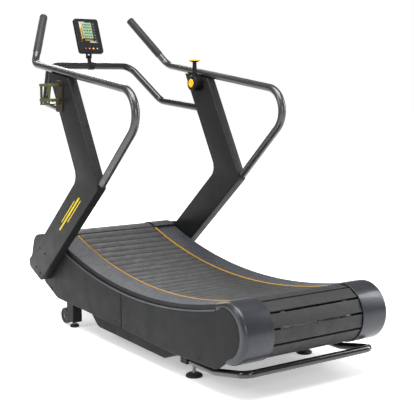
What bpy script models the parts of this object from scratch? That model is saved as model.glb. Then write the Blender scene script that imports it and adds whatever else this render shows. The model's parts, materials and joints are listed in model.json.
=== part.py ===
"""Curved manual treadmill: an unpowered running deck whose slat belt turns on two drums.

Design axes: X to the runner's right, Y forwards to the console, Z up, floor at Z = 0 and the
running centreline at X = 0. Everything hangs on one empty, which puts the middle of the
object's footprint at the world origin. Metres throughout.
"""

import math

import bmesh
import bpy
import numpy as np
from mathutils import Matrix, Vector

# ---------------------------------------------------------------- running surface and belt
DECK_RADIUS = 2.58          # curve of the running surface
DECK_LOW_Y = -0.36          # where the running surface is lowest
DECK_LOW_Z = 0.303          # height of the running surface there
DRUM_OUTER = 0.122          # drum radius out to the slats' outer faces
REAR_DRUM_Y = -1.055
FRONT_DRUM_Y = 0.555
SLAT_HEIGHT = 0.013         # slat above the drive belt's pitch line
BAND_THICKNESS = 0.003
SLAT_NOMINAL_PITCH = 0.060
SLAT_GAP = 0.0022           # gap between neighbours at the pitch line
BELT_HALF_WIDTH = 0.236
LOWER_SAG = 0.050           # how far the slack lower run hangs below the drums' tangent

# ---------------------------------------------------------------- chassis, across the deck
RUN_CLEARANCE = 0.0025      # between the belt's edge and the first fixed piece
FIT_GAP = 0.0003            # between pieces that touch
STRIP_WIDTH = 0.008
FRAME_INNER_X = 0.262
FRAME_THICKNESS = 0.012
COVER_OUTER_X = 0.3855      # outer face of the side covers
RAIL_OUTER_X = COVER_OUTER_X - 0.014       # outer edge of the foot rail
COVER_SKIN = 0.0035
COVER_RIM = 0.0135          # depth of the covers' turned-in rim
COVER_DROP = 0.022          # how far a cover's top edge lies below the running surface
SEAM_Y = -0.22              # joint between the front and rear side covers
SEAM_GAP = 0.001
SEAM_LOW_Z = 0.1125         # covers' lower edge at the seam
REAR_CAP_Y = -0.98          # where the rear end caps begin
FRONT_CAP_Y = 0.49          # where the front end caps begin
CAP_PROUD = 0.006           # end caps above the slats
CAP_WALL = 0.004
CAP_OPEN_REACH = 0.016      # how far a cap's hollow runs out towards the deck

# ---------------------------------------------------------------- drums, bearings and brake
SHAFT_RADIUS = 0.0125
SHAFT_END_X = 0.304
PULLEY_INNER_X = 0.192
PULLEY_OUTER_X = 0.225
SPINDLE_RADIUS = 0.030      # tube between a drum's two pulleys
BEARING_SIZE = 0.066
ROLLER_RADIUS = 0.016
ROLLER_PITCH = 0.078
ROLLER_INNER_X = 0.205
DISC_RADIUS = 0.090
DISC_THICKNESS = 0.006
DISC_X = 0.288
MAGNET_AIR = 0.0015
MAGNET_PLATE = 0.007
MAGNET_PIVOT = (0.420, 0.318)
MAGNET_PIN_RADIUS = 0.005

# ---------------------------------------------------------------- uprights and handrails
UPRIGHT_THICKNESS = 0.050
UPRIGHT_WALL = 0.004
KNEE_Y = -0.100             # rear corner of the upright's knee
KNEE_Z = 0.762
LOWER_LEAN = math.radians(40.0)
UPPER_LEAN = math.radians(60.6)
LOWER_WIDTH = 0.160
UPPER_WIDTH = 0.171
RAIL_RADIUS = 0.019         # handrail tube
RAIL_BACK = (-0.564, 1.197)  # where the handrail's straight runs would meet at the back
RAIL_FRONT = (0.615, 1.351)
RAIL_BACK_BEND = 0.115
RAIL_FRONT_BEND = 0.090
GRIP_TIP = (0.270, 0.797, 1.604)
GRIP_LENGTH = 0.270
GRIP_RADIUS = RAIL_RADIUS + 0.0025
PLUG_LENGTH = 0.006
BAR_RADIUS = 0.0190         # crossbar tube
BAR_FOOT = (COVER_OUTER_X + 0.0225, 0.270, 1.115)
BAR_LOW = (0.357, 0.604, 1.150)
BAR_HIGH = (0.250, 0.775, 1.345)

# ---------------------------------------------------------------- console
CONSOLE_TILT = math.radians(21.6)
CONSOLE_WIDTH = 0.150
CONSOLE_HEIGHT = 0.205
CONSOLE_DEPTH = 0.024
CONSOLE_FACE = (0.790, 1.513)   # middle of the console's face
SCREEN_WIDTH = 0.098
SCREEN_HEIGHT = 0.128
SCREEN_THICKNESS = 0.002
BUTTON_RADIUS = 0.0070
BUTTON_TRAVEL = 0.0012
BUTTON_PITCH = 0.024
STEM_RADIUS = 0.011

# ---------------------------------------------------------------- brake lever
HUB_Y = 0.262
HUB_Z = 1.250
HUB_RADIUS = 0.0425
HUB_BASE = 0.006
HUB_DEPTH = 0.046
SPIGOT_RADIUS = 0.009
LEVER_LENGTH = 0.112        # hub centre to the underside of the knob
LEVER_WIDTH = 0.026
LEVER_THICKNESS = 0.016
KNOB_RADIUS = 0.030
KNOB_HEIGHT = 0.016
HUB_CAP_RADIUS = 0.0225

# ---------------------------------------------------------------- bottle holder
BOTTLE_RADIUS = 0.044       # inside of the hoops
HOOP_WALL = 0.006
HOOP_HEIGHT = 0.014
BOTTLE_Y = 0.280
CAGE_LOW_Z = 1.110
CAGE_HIGH_Z = 1.265
CAGE_PLATE = 0.0045

# ---------------------------------------------------------------- feet, wheels, lift handle
BEAM_Y = -0.720
BEAM_WIDTH = 0.050
BEAM_LOW_Z = 0.066
BEAM_HIGH_Z = 0.1065
BEAM_END_X = 0.366
REAR_FOOT_X = 0.310
REAR_FOOT_RADIUS = 0.0375
FRONT_FOOT_RADIUS = 0.024
FOOT_STEM_RADIUS = 0.007
FOOT_TRAVEL = 0.010
LEG_Y = 0.322
LEG_LENGTH_Y = 0.072
LEG_INNER_X = 0.330
LEG_BOTTOM_Z = 0.030
LEG_TOP_Z = 0.172
ARM_LOW_Z = 0.136            # arm between the front leg and the side frame
ARM_HIGH_Z = 0.166
ARM_HALF_WIDTH = 0.025
WHEEL_RADIUS = 0.041
WHEEL_Z = 0.045
WHEEL_WIDTH = 0.028
AXLE_RADIUS = 0.006
HANDLE_RADIUS = 0.016
HANDLE_X = 0.3435
HANDLE_LOW_Z = 0.0785
HANDLE_RISE_Y = -0.930
HANDLE_BACK_Y = -1.135
HANDLE_HIGH_Z = 0.118

SIDES = (("left", -1), ("right", 1))
ROUND_STEPS = 20            # facets of a turned piece

# ---------------------------------------------------------------- worked-out places
DECK_CENTRE = Vector((DECK_LOW_Y, DECK_LOW_Z + DECK_RADIUS))
UPRIGHT_INNER_X = COVER_OUTER_X + FIT_GAP
UPRIGHT_MID_X = UPRIGHT_INNER_X + UPRIGHT_THICKNESS / 2
FRAME_OUTER_X = FRAME_INNER_X + FRAME_THICKNESS
PITCH_RADIUS = DRUM_OUTER - SLAT_HEIGHT


def drum_centre(y):
    """(Y, Z) of a drum that the running surface meets in a tangent."""
    reach = DECK_RADIUS + DRUM_OUTER
    return Vector((y, DECK_CENTRE.y - math.sqrt(reach**2 - (y - DECK_CENTRE.x) ** 2)))


REAR_DRUM = drum_centre(REAR_DRUM_Y)
FRONT_DRUM = drum_centre(FRONT_DRUM_Y)


def deck_point(y, offset=0.0):
    """Point on the running surface's curve, raised by offset along its normal."""
    radius = DECK_RADIUS - offset
    return (y, DECK_CENTRE.y - math.sqrt(radius**2 - (y - DECK_CENTRE.x) ** 2))


def deck_curve(y_from, y_to, offset, count):
    return [deck_point(float(y), offset) for y in np.linspace(y_from, y_to, count)]


def arc(centre, radius, start, end, count):
    """Points of an arc in the (Y, Z) plane, angles in degrees from +Y towards +Z."""
    turns = np.radians(np.linspace(start, end, count))
    return [(centre[0] + radius * math.cos(t), centre[1] + radius * math.sin(t)) for t in turns]


def filleted(corners, steps=5, start=None, end=None):
    """Points through (a, b, radius) corners, each rounded by an arc of its radius.

    The corners close on themselves, unless start and end name the points that come before
    the first and after the last.
    """
    chain = [start or corners[-1], *corners, end or corners[0]]
    points = []
    for index, (a, b, radius) in enumerate(corners, 1):
        if radius <= 0:
            points.append((a, b))
            continue
        before, after = Vector(chain[index - 1][:2]), Vector(chain[index + 1][:2])
        points += [tuple(p) for p in bend(Vector((a, b)), before, after, radius, steps)]
    return points


def bend(corner, before, after, radius, steps):
    """Points of the arc of this radius that rounds a corner, in the plane or in space."""
    towards = (before - corner).normalized()
    away = (after - corner).normalized()
    half = towards.angle(away) / 2
    reach = min(radius / math.tan(half), (before - corner).length * 0.49, (after - corner).length * 0.49)
    radius = reach * math.tan(half)
    centre = corner + (towards + away).normalized() * (radius / math.sin(half))
    start = corner + towards * reach - centre
    end = corner + away * reach - centre
    whole = start.angle(end)
    points = []
    for step in range(steps + 1):
        t = step / steps
        weight = (math.sin((1 - t) * whole) * start + math.sin(t * whole) * end) / math.sin(whole)
        points.append(centre + weight)
    return points


def meeting(point, direction, other, other_direction):
    """Where two lines in the (Y, Z) plane cross."""
    matrix = np.array([direction, (-other_direction[0], -other_direction[1])]).T
    along = np.linalg.solve(matrix, np.array(other) - np.array(point))[0]
    return (point[0] + along * direction[0], point[1] + along * direction[1])


# ================================================================ the belt's closed path
def loop_arcs():
    """The pitch line as arcs (centre, signed radius, first angle, last angle).

    Angles turn from +Z towards +Y. The radius is negative on the running surface, whose
    centre lies above it. The slack lower run is an arc tangent to both drums.
    """
    middle = (REAR_DRUM + FRONT_DRUM) / 2
    span = FRONT_DRUM - REAR_DRUM
    half = span.length / 2
    rise = (half**2 - LOWER_SAG**2) / (2 * LOWER_SAG)
    lower_centre = middle + Vector((-span.y, span.x)).normalized() * rise
    to_front = FRONT_DRUM - lower_centre
    to_rear = REAR_DRUM - lower_centre
    first = math.atan2(to_front.x, to_front.y)
    last = math.atan2(to_rear.x, to_rear.y) + 2 * math.pi
    reach = DECK_RADIUS + DRUM_OUTER
    rear_turn = math.asin((DECK_CENTRE.x - REAR_DRUM.x) / reach)
    front_turn = math.asin((FRONT_DRUM.x - DECK_CENTRE.x) / reach)
    return [
        (DECK_CENTRE, -(DECK_RADIUS + SLAT_HEIGHT), rear_turn, -front_turn),
        (FRONT_DRUM, PITCH_RADIUS, -front_turn, first),
        (lower_centre, to_front.length + PITCH_RADIUS, first, last),
        (REAR_DRUM, PITCH_RADIUS, last, rear_turn + 2 * math.pi),
    ]


def loop_length(arcs):
    return sum(radius * (end - start) for _, radius, start, end in arcs)


def loop_frame(arcs, along):
    """Place on the pitch line, direction of travel and outward normal, after this length."""
    along = along % loop_length(arcs)
    for centre, radius, start, end in arcs:
        length = radius * (end - start)
        if along <= length:
            break
        along -= length
    turn = start + along / radius
    normal = Vector((math.sin(turn), math.cos(turn)))
    travel = Vector((math.cos(turn), -math.sin(turn)))
    return centre + normal * radius, travel, normal


# ================================================================ shared modelling tools
def clear_scene():
    for obj in list(bpy.data.objects):
        bpy.data.objects.remove(obj, do_unlink=True)


def new_collection(name):
    collection = bpy.data.collections.new(name)
    bpy.context.scene.collection.children.link(collection)
    return collection


def material(name, colour, roughness, metallic=0.0):
    made = bpy.data.materials.new(name)
    made.use_nodes = True
    shader = made.node_tree.nodes["Principled BSDF"]
    shader.inputs["Base Color"].default_value = (*colour, 1.0)
    shader.inputs["Roughness"].default_value = roughness
    shader.inputs["Metallic"].default_value = metallic
    return made


def add_object(name, data, finish, parent=None):
    """A named part in the machine's collection, hung on the datum or on a pivot empty."""
    obj = bpy.data.objects.new(name, data)
    PARTS.objects.link(obj)
    obj.parent = parent or DATUM
    if finish:
        data.materials.append(finish)
    return obj


def shift_to_pivot(obj):
    """Takes the pivot's own place off a piece that was placed in design axes."""
    if obj.parent is not DATUM:
        obj.location -= obj.parent.location
    return obj


def pivot(name, place):
    empty = bpy.data.objects.new(name, None)
    PARTS.objects.link(empty)
    empty.parent = DATUM
    empty.location = place
    return empty


def plate(name, outline, low_x, high_x, finish, parent=None, holes=()):
    """A flat (Y, Z) outline, with any holes, given thickness from low_x to high_x."""
    curve = bpy.data.curves.new(name, "CURVE")
    curve.dimensions = "2D"
    curve.fill_mode = "BOTH"
    curve.extrude = abs(high_x - low_x) / 2
    for points in (outline, *holes):
        spline = curve.splines.new("POLY")
        spline.points.add(len(points) - 1)
        for target, (y, z) in zip(spline.points, points):
            target.co = (y, z, 0.0, 1.0)
        spline.use_cyclic_u = True
    obj = add_object(name, curve, finish, parent)
    obj.location = ((low_x + high_x) / 2, 0.0, 0.0)
    obj.rotation_euler = (math.pi / 2, 0.0, math.pi / 2)
    return as_mesh(shift_to_pivot(obj))


def as_mesh(obj):
    """The same object as a welded mesh, its place baked in, ready for a Boolean."""
    bpy.context.view_layer.update()
    graph = bpy.context.evaluated_depsgraph_get()
    mesh = bpy.data.meshes.new_from_object(obj.evaluated_get(graph))
    mesh.transform(obj.matrix_basis)
    shape = bmesh.new()
    shape.from_mesh(mesh)
    bmesh.ops.remove_doubles(shape, verts=shape.verts, dist=0.00002)
    bmesh.ops.recalc_face_normals(shape, faces=shape.faces)
    shape.to_mesh(mesh)
    shape.free()
    name, parent, old = obj.name, obj.parent, obj.data
    bpy.data.objects.remove(obj, do_unlink=True)
    if isinstance(old, bpy.types.Curve):
        bpy.data.curves.remove(old)
    made = bpy.data.objects.new(name, mesh)
    PARTS.objects.link(made)
    made.parent = parent
    return made


def tube(name, points, radius, finish, parent=None, roundness=4):
    """A round bar along a line of points, its ends capped."""
    curve = bpy.data.curves.new(name, "CURVE")
    curve.dimensions = "3D"
    curve.bevel_depth = radius
    curve.bevel_resolution = roundness
    curve.use_fill_caps = True
    spline = curve.splines.new("POLY")
    spline.points.add(len(points) - 1)
    for target, point in zip(spline.points, points):
        target.co = (*point, 1.0)
    return as_mesh(shift_to_pivot(add_object(name, curve, finish, parent)))


def bent_path(corners, steps=5):
    """A path in space through (point, bend radius) corners; the ends have no bend."""
    places = [Vector(place) for place, _ in corners]
    path = [places[0]]
    for index in range(1, len(corners) - 1):
        path += bend(places[index], places[index - 1], places[index + 1], corners[index][1], steps)
    return path + [places[-1]]


def turned(name, profile, place, axis, finish, parent=None, steps=ROUND_STEPS):
    """A profile of (radius, height) points, top to bottom, turned about an axis at a place."""
    mesh = bpy.data.meshes.new(name)
    ends = [] if profile[0] == profile[-1] else [(0.0, 0.0, profile[0][1])]
    points = ends + [(radius, 0.0, height) for radius, height in profile]
    if ends:
        points.append((0.0, 0.0, profile[-1][1]))
    mesh.from_pydata(points, [(i, i + 1) for i in range(len(points) - 1)], [])
    obj = add_object(name, mesh, finish, parent)
    screw = obj.modifiers.new("Turn", "SCREW")
    screw.steps = steps
    screw.render_steps = steps
    screw.use_merge_vertices = True
    screw.merge_threshold = 0.00002
    obj.rotation_euler = Vector(axis).to_track_quat("Z", "Y").to_euler()
    obj.location = place
    return as_mesh(shift_to_pivot(obj))


def ring_profile(inner, outer, low, high):
    """Closed profile of a plain ring, for a turned piece with a bore."""
    return [(outer, high), (outer, low), (inner, low), (inner, high), (outer, high)]


def box(name, low, high, finish, parent=None, rounding=0.0):
    """A block between two corners, its edges rounded a little where asked."""
    low, high = Vector(low), Vector(high)
    mesh = bpy.data.meshes.new(name)
    shape = bmesh.new()
    bmesh.ops.create_cube(shape, size=1.0)
    bmesh.ops.scale(shape, vec=high - low, verts=shape.verts)
    bmesh.ops.translate(shape, vec=(low + high) / 2, verts=shape.verts)
    if rounding:
        bmesh.ops.bevel(shape, geom=shape.edges, offset=rounding, segments=2, profile=0.5, affect="EDGES")
    shape.to_mesh(mesh)
    shape.free()
    obj = add_object(name, mesh, finish, parent)
    return shift_to_pivot(obj)


def turn_mesh(obj, angle, axis, centre):
    """Turns a part's mesh about an axis through a point of its parent's space."""
    matrix = Matrix.Translation(centre) @ Matrix.Rotation(angle, 4, axis) @ Matrix.Translation(
        -Vector(centre),
    )
    obj.data.transform(matrix)
    return obj


def boolean(obj, other, operation):
    """Joins a helper to a part, or cuts it away; the helper stays as a hidden wire shape."""
    for collection in list(other.users_collection):
        collection.objects.unlink(other)
    CUTTERS.objects.link(other)
    other.hide_render = True
    other.display_type = "WIRE"
    change = obj.modifiers.new(other.name, "BOOLEAN")
    change.operation = operation
    change.object = other
    return obj


def cut(obj, other):
    return boolean(obj, other, "DIFFERENCE")


def join(obj, other):
    return boolean(obj, other, "UNION")


def both_x(side, near, far):
    """Low and high X of something that lies between two distances from the centreline."""
    return (near, far) if side > 0 else (-far, -near)


def bore_radius(shaft, steps=ROUND_STEPS):
    """Radius of a faceted bore whose flats clear a shaft by the fit gap."""
    return (shaft + FIT_GAP) / math.cos(math.pi / steps)


# ================================================================ slat belt and drums
def slat_belt(finish):
    """One closed loop: a thin band with a rigid slat standing on each pitch."""
    arcs = loop_arcs()
    length = loop_length(arcs)
    count = round(length / SLAT_NOMINAL_PITCH)
    pitch = length / count
    half = (pitch - SLAT_GAP) / 2
    outer, inner = [], []
    for index in range(count):
        place, travel, normal = loop_frame(arcs, (index + 0.5) * pitch)
        start, end = place - travel * half, place + travel * half
        raised = normal * SLAT_HEIGHT
        outer += [tuple(p) for p in (start, start + raised, end + raised, end)]
        for part in (0.0, 0.5):
            place, _, normal = loop_frame(arcs, (index + part) * pitch)
            inner.append(tuple(place - normal * BAND_THICKNESS))
    return plate("slat_belt", outer, -BELT_HALF_WIDTH, BELT_HALF_WIDTH, finish, holes=[inner])


def drum(name, centre, finish):
    """Shaft, spindle tube and two belt pulleys turned as one piece about the drum's axis."""
    pulley = (PITCH_RADIUS - BAND_THICKNESS) * math.cos(math.pi / 24) - 0.0015
    half = [
        (SHAFT_RADIUS, SHAFT_END_X), (SHAFT_RADIUS, PULLEY_OUTER_X), (pulley, PULLEY_OUTER_X),
        (pulley, PULLEY_INNER_X), (SPINDLE_RADIUS, PULLEY_INNER_X),
    ]
    profile = half + [(radius, -x) for radius, x in reversed(half)]
    spin = pivot(name + "_axis", (0.0, centre.x, centre.y))
    return turned(name, profile, (0.0, centre.x, centre.y), (1, 0, 0), finish, spin)


def brake_disc(finish):
    """Disc clamped on the front shaft, outside the right side frame."""
    spin = bpy.data.objects["front_drum_axis"]
    place = (DISC_X, FRONT_DRUM.x, FRONT_DRUM.y)
    half = DISC_THICKNESS / 2
    bore = bore_radius(SHAFT_RADIUS)
    return turned(
        "brake_disc", ring_profile(bore, DISC_RADIUS, -half, half), place, (1, 0, 0), finish, spin,
    )


def bearing_block(name, centre, side, finish):
    """Square flange bearing on a side frame's inner face, bored for the shaft."""
    low, high = both_x(side, BELT_HALF_WIDTH + 0.004, FRAME_INNER_X - FIT_GAP)
    half = BEARING_SIZE / 2
    corner = (centre.x - half, centre.y - half)
    square = filleted([
        (*corner, 0.01), (corner[0] + BEARING_SIZE, corner[1], 0.01),
        (corner[0] + BEARING_SIZE, corner[1] + BEARING_SIZE, 0.01),
        (corner[0], corner[1] + BEARING_SIZE, 0.01),
    ], 2)
    bore = arc(centre, bore_radius(SHAFT_RADIUS), 0, 360 * (1 - 1 / ROUND_STEPS), ROUND_STEPS)
    return plate(name, square, low, high, finish, holes=[bore])


def roller_track(name, side, finish):
    """Curved rail bolted to the side frame, with the row of rollers that carry the slats."""
    top = SLAT_HEIGHT + BAND_THICKNESS + 0.0008
    reach = 0.075
    y_from, y_to = REAR_DRUM.x + reach + 0.05, FRONT_DRUM.x - reach - 0.05
    upper = deck_curve(y_from, y_to, -(top + 0.006), 22)
    lower = deck_curve(y_to, y_from, -(top + 0.006 + 2 * ROLLER_RADIUS), 22)
    low, high = both_x(side, BELT_HALF_WIDTH + RUN_CLEARANCE, FRAME_INNER_X - FIT_GAP)
    rail = plate(name, upper + lower, low, high, finish)
    for index, y in enumerate(np.arange(y_from + 0.03, y_to - 0.02, ROLLER_PITCH)):
        centre = deck_point(float(y), -(top + ROLLER_RADIUS))
        low, high = both_x(side, ROLLER_INNER_X, FRAME_INNER_X - 0.012)
        roller = turned(
            f"{name}_roller_{index}", [(ROLLER_RADIUS, high), (ROLLER_RADIUS, low)],
            (0.0, *centre), (1, 0, 0), None, steps=12,
        )
        join(rail, roller)
    return rail


# ================================================================ chassis
def side_frame(name, side, finish):
    """Deep curved plate that carries the shafts, the roller track and the cross members."""
    hub = 0.050
    outline = deck_curve(REAR_DRUM.x + 0.03, FRONT_DRUM.x - 0.03, -0.055, 20)
    outline += filleted([
        (FRONT_DRUM.x + hub, FRONT_DRUM.y + hub, 0.03), (FRONT_DRUM.x + hub, FRONT_DRUM.y - hub, 0.03),
        (0.480, 0.216, 0.05), (0.400, 0.135, 0.03), (-0.560, 0.130, 0.03),
        (BEAM_Y + 0.04, BEAM_HIGH_Z + FIT_GAP, 0.02), (-0.880, BEAM_HIGH_Z + FIT_GAP, 0.04),
        (REAR_DRUM.x - hub, REAR_DRUM.y - hub, 0.03), (REAR_DRUM.x - hub, REAR_DRUM.y + hub * 0.9, 0.03),
    ], 3, outline[-1], outline[0])
    low, high = both_x(side, FRAME_INNER_X, FRAME_OUTER_X)
    holes = [
        arc(centre, SHAFT_RADIUS + 0.004, 0, 345, 24) for centre in (REAR_DRUM, FRONT_DRUM)
    ]
    frame = plate(name, outline, low, high, finish, holes=holes)
    low, high = both_x(side, FRAME_OUTER_X - 0.004, COVER_OUTER_X - COVER_SKIN - FIT_GAP)
    return join(frame, box(name + "_outrigger", (low, 0.345, 0.175), (high, 0.440, 0.235), None))


def cross_member(name, y, z, size, finish):
    end = FRAME_INNER_X - FIT_GAP
    half = size / 2
    beam = box(name, (-end, y - half, z - half), (end, y + half, z + half), finish)
    inner = half - 0.003
    bore = box(
        name + "_bore", (-end - 0.01, y - inner, z - inner), (end + 0.01, y + inner, z + inner),
        None,
    )
    return cut(beam, bore)


def foot_beam(finish):
    """Rear cross beam under both side frames, drilled for the two rear feet."""
    half = BEAM_WIDTH / 2
    beam = box(
        "cross_member_rear", (-BEAM_END_X, BEAM_Y - half, BEAM_LOW_Z),
        (BEAM_END_X, BEAM_Y + half, BEAM_HIGH_Z), finish, rounding=0.003,
    )
    for word, side in SIDES:
        hole = turned(
            f"beam_hole_{word}", [
                (bore_radius(FOOT_STEM_RADIUS, 12), 0.036),
                (bore_radius(FOOT_STEM_RADIUS, 12), -0.01),
            ],
            (side * REAR_FOOT_X, BEAM_Y, BEAM_LOW_Z), (0, 0, 1), None, steps=12,
        )
        cut(beam, hole)
    return beam


def front_leg(name, side, finish):
    """Box leg with an arm to the side frame, an axle for the transport wheel and a foot thread."""
    outer = COVER_OUTER_X - COVER_SKIN - FIT_GAP
    half = LEG_LENGTH_Y / 2
    low, high = both_x(side, LEG_INNER_X, outer)
    leg = box(
        name, (low, LEG_Y - half, LEG_BOTTOM_Z), (high, LEG_Y + half, LEG_TOP_Z), finish,
        rounding=0.003,
    )
    low, high = both_x(side, FRAME_OUTER_X + FIT_GAP, LEG_INNER_X + 0.01)
    arm = box(
        name + "_arm", (low, LEG_Y - ARM_HALF_WIDTH, ARM_LOW_Z),
        (high, LEG_Y + ARM_HALF_WIDTH, ARM_HIGH_Z), None,
    )
    join(leg, arm)
    front = LEG_Y + half
    axle_y = front + 0.001 + WHEEL_RADIUS
    low, high = both_x(side, 0.335, 0.343)
    ear = [
        (front - 0.01, WHEEL_Z - 0.014), (axle_y, WHEEL_Z - 0.014), (axle_y + 0.012, WHEEL_Z),
        (axle_y, WHEEL_Z + 0.014), (front - 0.01, WHEEL_Z + 0.030),
    ]
    join(leg, plate(name + "_ear", ear, low, high, None))
    low, high = both_x(side, 0.338, outer - 0.002)
    join(leg, turned(
        name + "_axle", [(AXLE_RADIUS, high), (AXLE_RADIUS, low)], (0.0, axle_y, WHEEL_Z), (1, 0, 0),
        None, steps=16,
    ))
    radius = bore_radius(FOOT_STEM_RADIUS, 12)
    thread = turned(
        name + "_thread", [(radius, 0.050), (radius, -0.01)],
        (side * (LEG_INNER_X + outer) / 2, LEG_Y, LEG_BOTTOM_Z), (0, 0, 1), None, steps=12,
    )
    return cut(leg, thread)


def foot(name, place, radius, stem_top, finish):
    """Levelling foot: a pad with a threaded stem that screws up into the frame."""
    lift = pivot(name + "_axis", place)
    profile = [
        (FOOT_STEM_RADIUS, stem_top), (FOOT_STEM_RADIUS, 0.016), (radius * 0.72, 0.014),
        (radius * 0.96, 0.009), (radius, 0.005), (radius, 0.0),
    ]
    return turned(name, profile, place, (0, 0, 1), finish, lift, steps=16)


def transport_wheel(name, side, finish):
    axle_y = LEG_Y + LEG_LENGTH_Y / 2 + 0.001 + WHEEL_RADIUS
    place = (side * 0.3605, axle_y, WHEEL_Z)
    spin = pivot(name + "_axis", place)
    half = WHEEL_WIDTH / 2
    bore = bore_radius(AXLE_RADIUS)
    profile = [
        (0.016, half), (0.030, half - 0.003), (WHEEL_RADIUS - 0.003, half), (WHEEL_RADIUS, half - 0.003),
        (WHEEL_RADIUS, -half + 0.003), (WHEEL_RADIUS - 0.003, -half), (0.030, -half + 0.003),
        (0.016, -half), (bore, -half), (bore, half), (0.016, half),
    ]
    return turned(name, profile, place, (1, 0, 0), finish, spin)


def lift_handle(finish):
    """Bent tube behind the rear beam, for lifting the machine onto its wheels."""
    front = BEAM_Y - BEAM_WIDTH / 2 - FIT_GAP
    corners = [((-HANDLE_X, front, HANDLE_LOW_Z), 0)]
    corners.append(((-HANDLE_X, HANDLE_RISE_Y, HANDLE_LOW_Z), 0.08))
    corners.append(((-HANDLE_X, HANDLE_BACK_Y, HANDLE_HIGH_Z), 0.045))
    corners.append(((HANDLE_X, HANDLE_BACK_Y, HANDLE_HIGH_Z), 0.045))
    corners.append(((HANDLE_X, HANDLE_RISE_Y, HANDLE_LOW_Z), 0.08))
    corners.append(((HANDLE_X, front, HANDLE_LOW_Z), 0))
    return tube("lift_handle", bent_path(corners), HANDLE_RADIUS, finish)


# ================================================================ covers and foot rails
def inset_outline(outline, distance):
    """The outline moved inwards by a distance, each corner along its own mitre."""
    points = np.array(outline)
    before = points - np.roll(points, 1, axis=0)
    after = np.roll(points, -1, axis=0) - points
    before /= np.linalg.norm(before, axis=1)[:, None]
    after /= np.linalg.norm(after, axis=1)[:, None]
    area = np.sum(points[:, 0] * np.roll(points[:, 1], -1) - points[:, 1] * np.roll(points[:, 0], -1))
    turn = 1.0 if area > 0 else -1.0
    normals = turn * np.stack([-(before + after)[:, 1], (before + after)[:, 0]], axis=1)
    normals /= np.linalg.norm(normals, axis=1)[:, None]
    lean = np.clip(np.abs(np.sum(before * after, axis=1)), 0.5, 1.0)
    scale = distance / np.sqrt((1 + lean) / 2)
    return [tuple(p) for p in points + normals * scale[:, None]]


def cover_front_outline():
    seam = (SEAM_Y + SEAM_GAP / 2, SEAM_LOW_Z)
    top = deck_curve(SEAM_Y + SEAM_GAP / 2, FRONT_DRUM.x - 0.045, -COVER_DROP, 12)
    nose = arc(FRONT_DRUM, DRUM_OUTER - COVER_DROP + 0.002, 100, 10, 9)
    chin = filleted([
        (FRONT_DRUM.x + 0.112, 0.285, 0.05), (0.612, 0.188, 0.05), (0.462, 0.127, 0.04), (
            0.100, 0.120, 0.05,
        ),
    ], 4, nose[-1], seam)
    return top + nose + chin + [seam]


def cover_rear_outline():
    tail = arc(REAR_DRUM, DRUM_OUTER - COVER_DROP + 0.008, 78, 252, 16)
    seam = (SEAM_Y - SEAM_GAP / 2, SEAM_LOW_Z)
    belly = filleted([(-0.985, 0.108, 0.06), (-0.655, 0.097, 0.10)], 4, tail[-1], seam)
    top = deck_curve(REAR_DRUM.x + 0.055, SEAM_Y - SEAM_GAP / 2, -COVER_DROP, 14)
    return top + [seam] + list(reversed(belly)) + list(reversed(tail))


def side_cover(name, outline, side, finish, leg_notch):
    """Pressed cover: a skin with a turned-in rim all round."""
    low, high = both_x(side, COVER_OUTER_X - COVER_RIM, COVER_OUTER_X)
    cover = plate(name, outline, low, high, finish)
    low, high = both_x(side, COVER_OUTER_X - COVER_RIM - 0.01, COVER_OUTER_X - COVER_SKIN)
    cut(cover, plate(name + "_hollow", inset_outline(outline, COVER_SKIN), low, high, None))
    if leg_notch:
        half = LEG_LENGTH_Y / 2 + FIT_GAP
        cut(cover, box(name + "_notch", (low, LEG_Y - half, 0.05), (high, LEG_Y + half, 0.18), None))
    return cover


def rear_cap_outline():
    start = REAR_DRUM.x + 0.04
    top = deck_curve(REAR_CAP_Y, start, CAP_PROUD, 3)
    round_end = arc(REAR_DRUM, DRUM_OUTER + CAP_PROUD, 82, 268, 18)
    return top + round_end + [(REAR_CAP_Y, REAR_DRUM.y - DRUM_OUTER - CAP_PROUD + 0.001)]


def front_cap_outline():
    round_end = arc(FRONT_DRUM, DRUM_OUTER + CAP_PROUD, 105, -84, 18)
    return [deck_point(FRONT_CAP_Y, CAP_PROUD)] + round_end + [
        (FRONT_CAP_Y, FRONT_DRUM.y - DRUM_OUTER - 0.004),
    ]


def end_cap(name, outline, side, open_y, finish):
    """Round end shell beside the drum, open towards the slats and towards the deck."""
    outer = COVER_OUTER_X - COVER_RIM - FIT_GAP
    low, high = both_x(side, BELT_HALF_WIDTH + RUN_CLEARANCE, outer)
    cap = plate(name, outline, low, high, finish)
    inner = inset_outline(outline, CAP_WALL)
    past_deck_side = open_y - math.copysign(CAP_OPEN_REACH, open_y)
    inner = [(past_deck_side, z) if abs(y - open_y) < CAP_WALL * 2 else (y, z) for y, z in inner]
    low, high = both_x(side, BELT_HALF_WIDTH - 0.01, outer - CAP_WALL)
    return cut(cap, plate(name + "_hollow", inner, low, high, None))


def foot_rail(name, side, finish):
    """Textured standing rail beside the belt, with a skirt down its outer edge."""
    y_from, y_to = REAR_CAP_Y + SEAM_GAP, FRONT_CAP_Y - SEAM_GAP
    near = BELT_HALF_WIDTH + RUN_CLEARANCE + STRIP_WIDTH + FIT_GAP
    low, high = both_x(side, near, RAIL_OUTER_X)
    strip = deck_curve(y_from, y_to, 0.0, 26) + deck_curve(y_to, y_from, -0.006, 26)
    rail = plate(name, strip, low, high, finish)
    low, high = both_x(side, RAIL_OUTER_X - 0.005, RAIL_OUTER_X)
    skirt = deck_curve(y_from, y_to, -0.003, 26) + deck_curve(y_to, y_from, -0.034, 26)
    return join(rail, plate(name + "_skirt", skirt, low, high, None))


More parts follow.
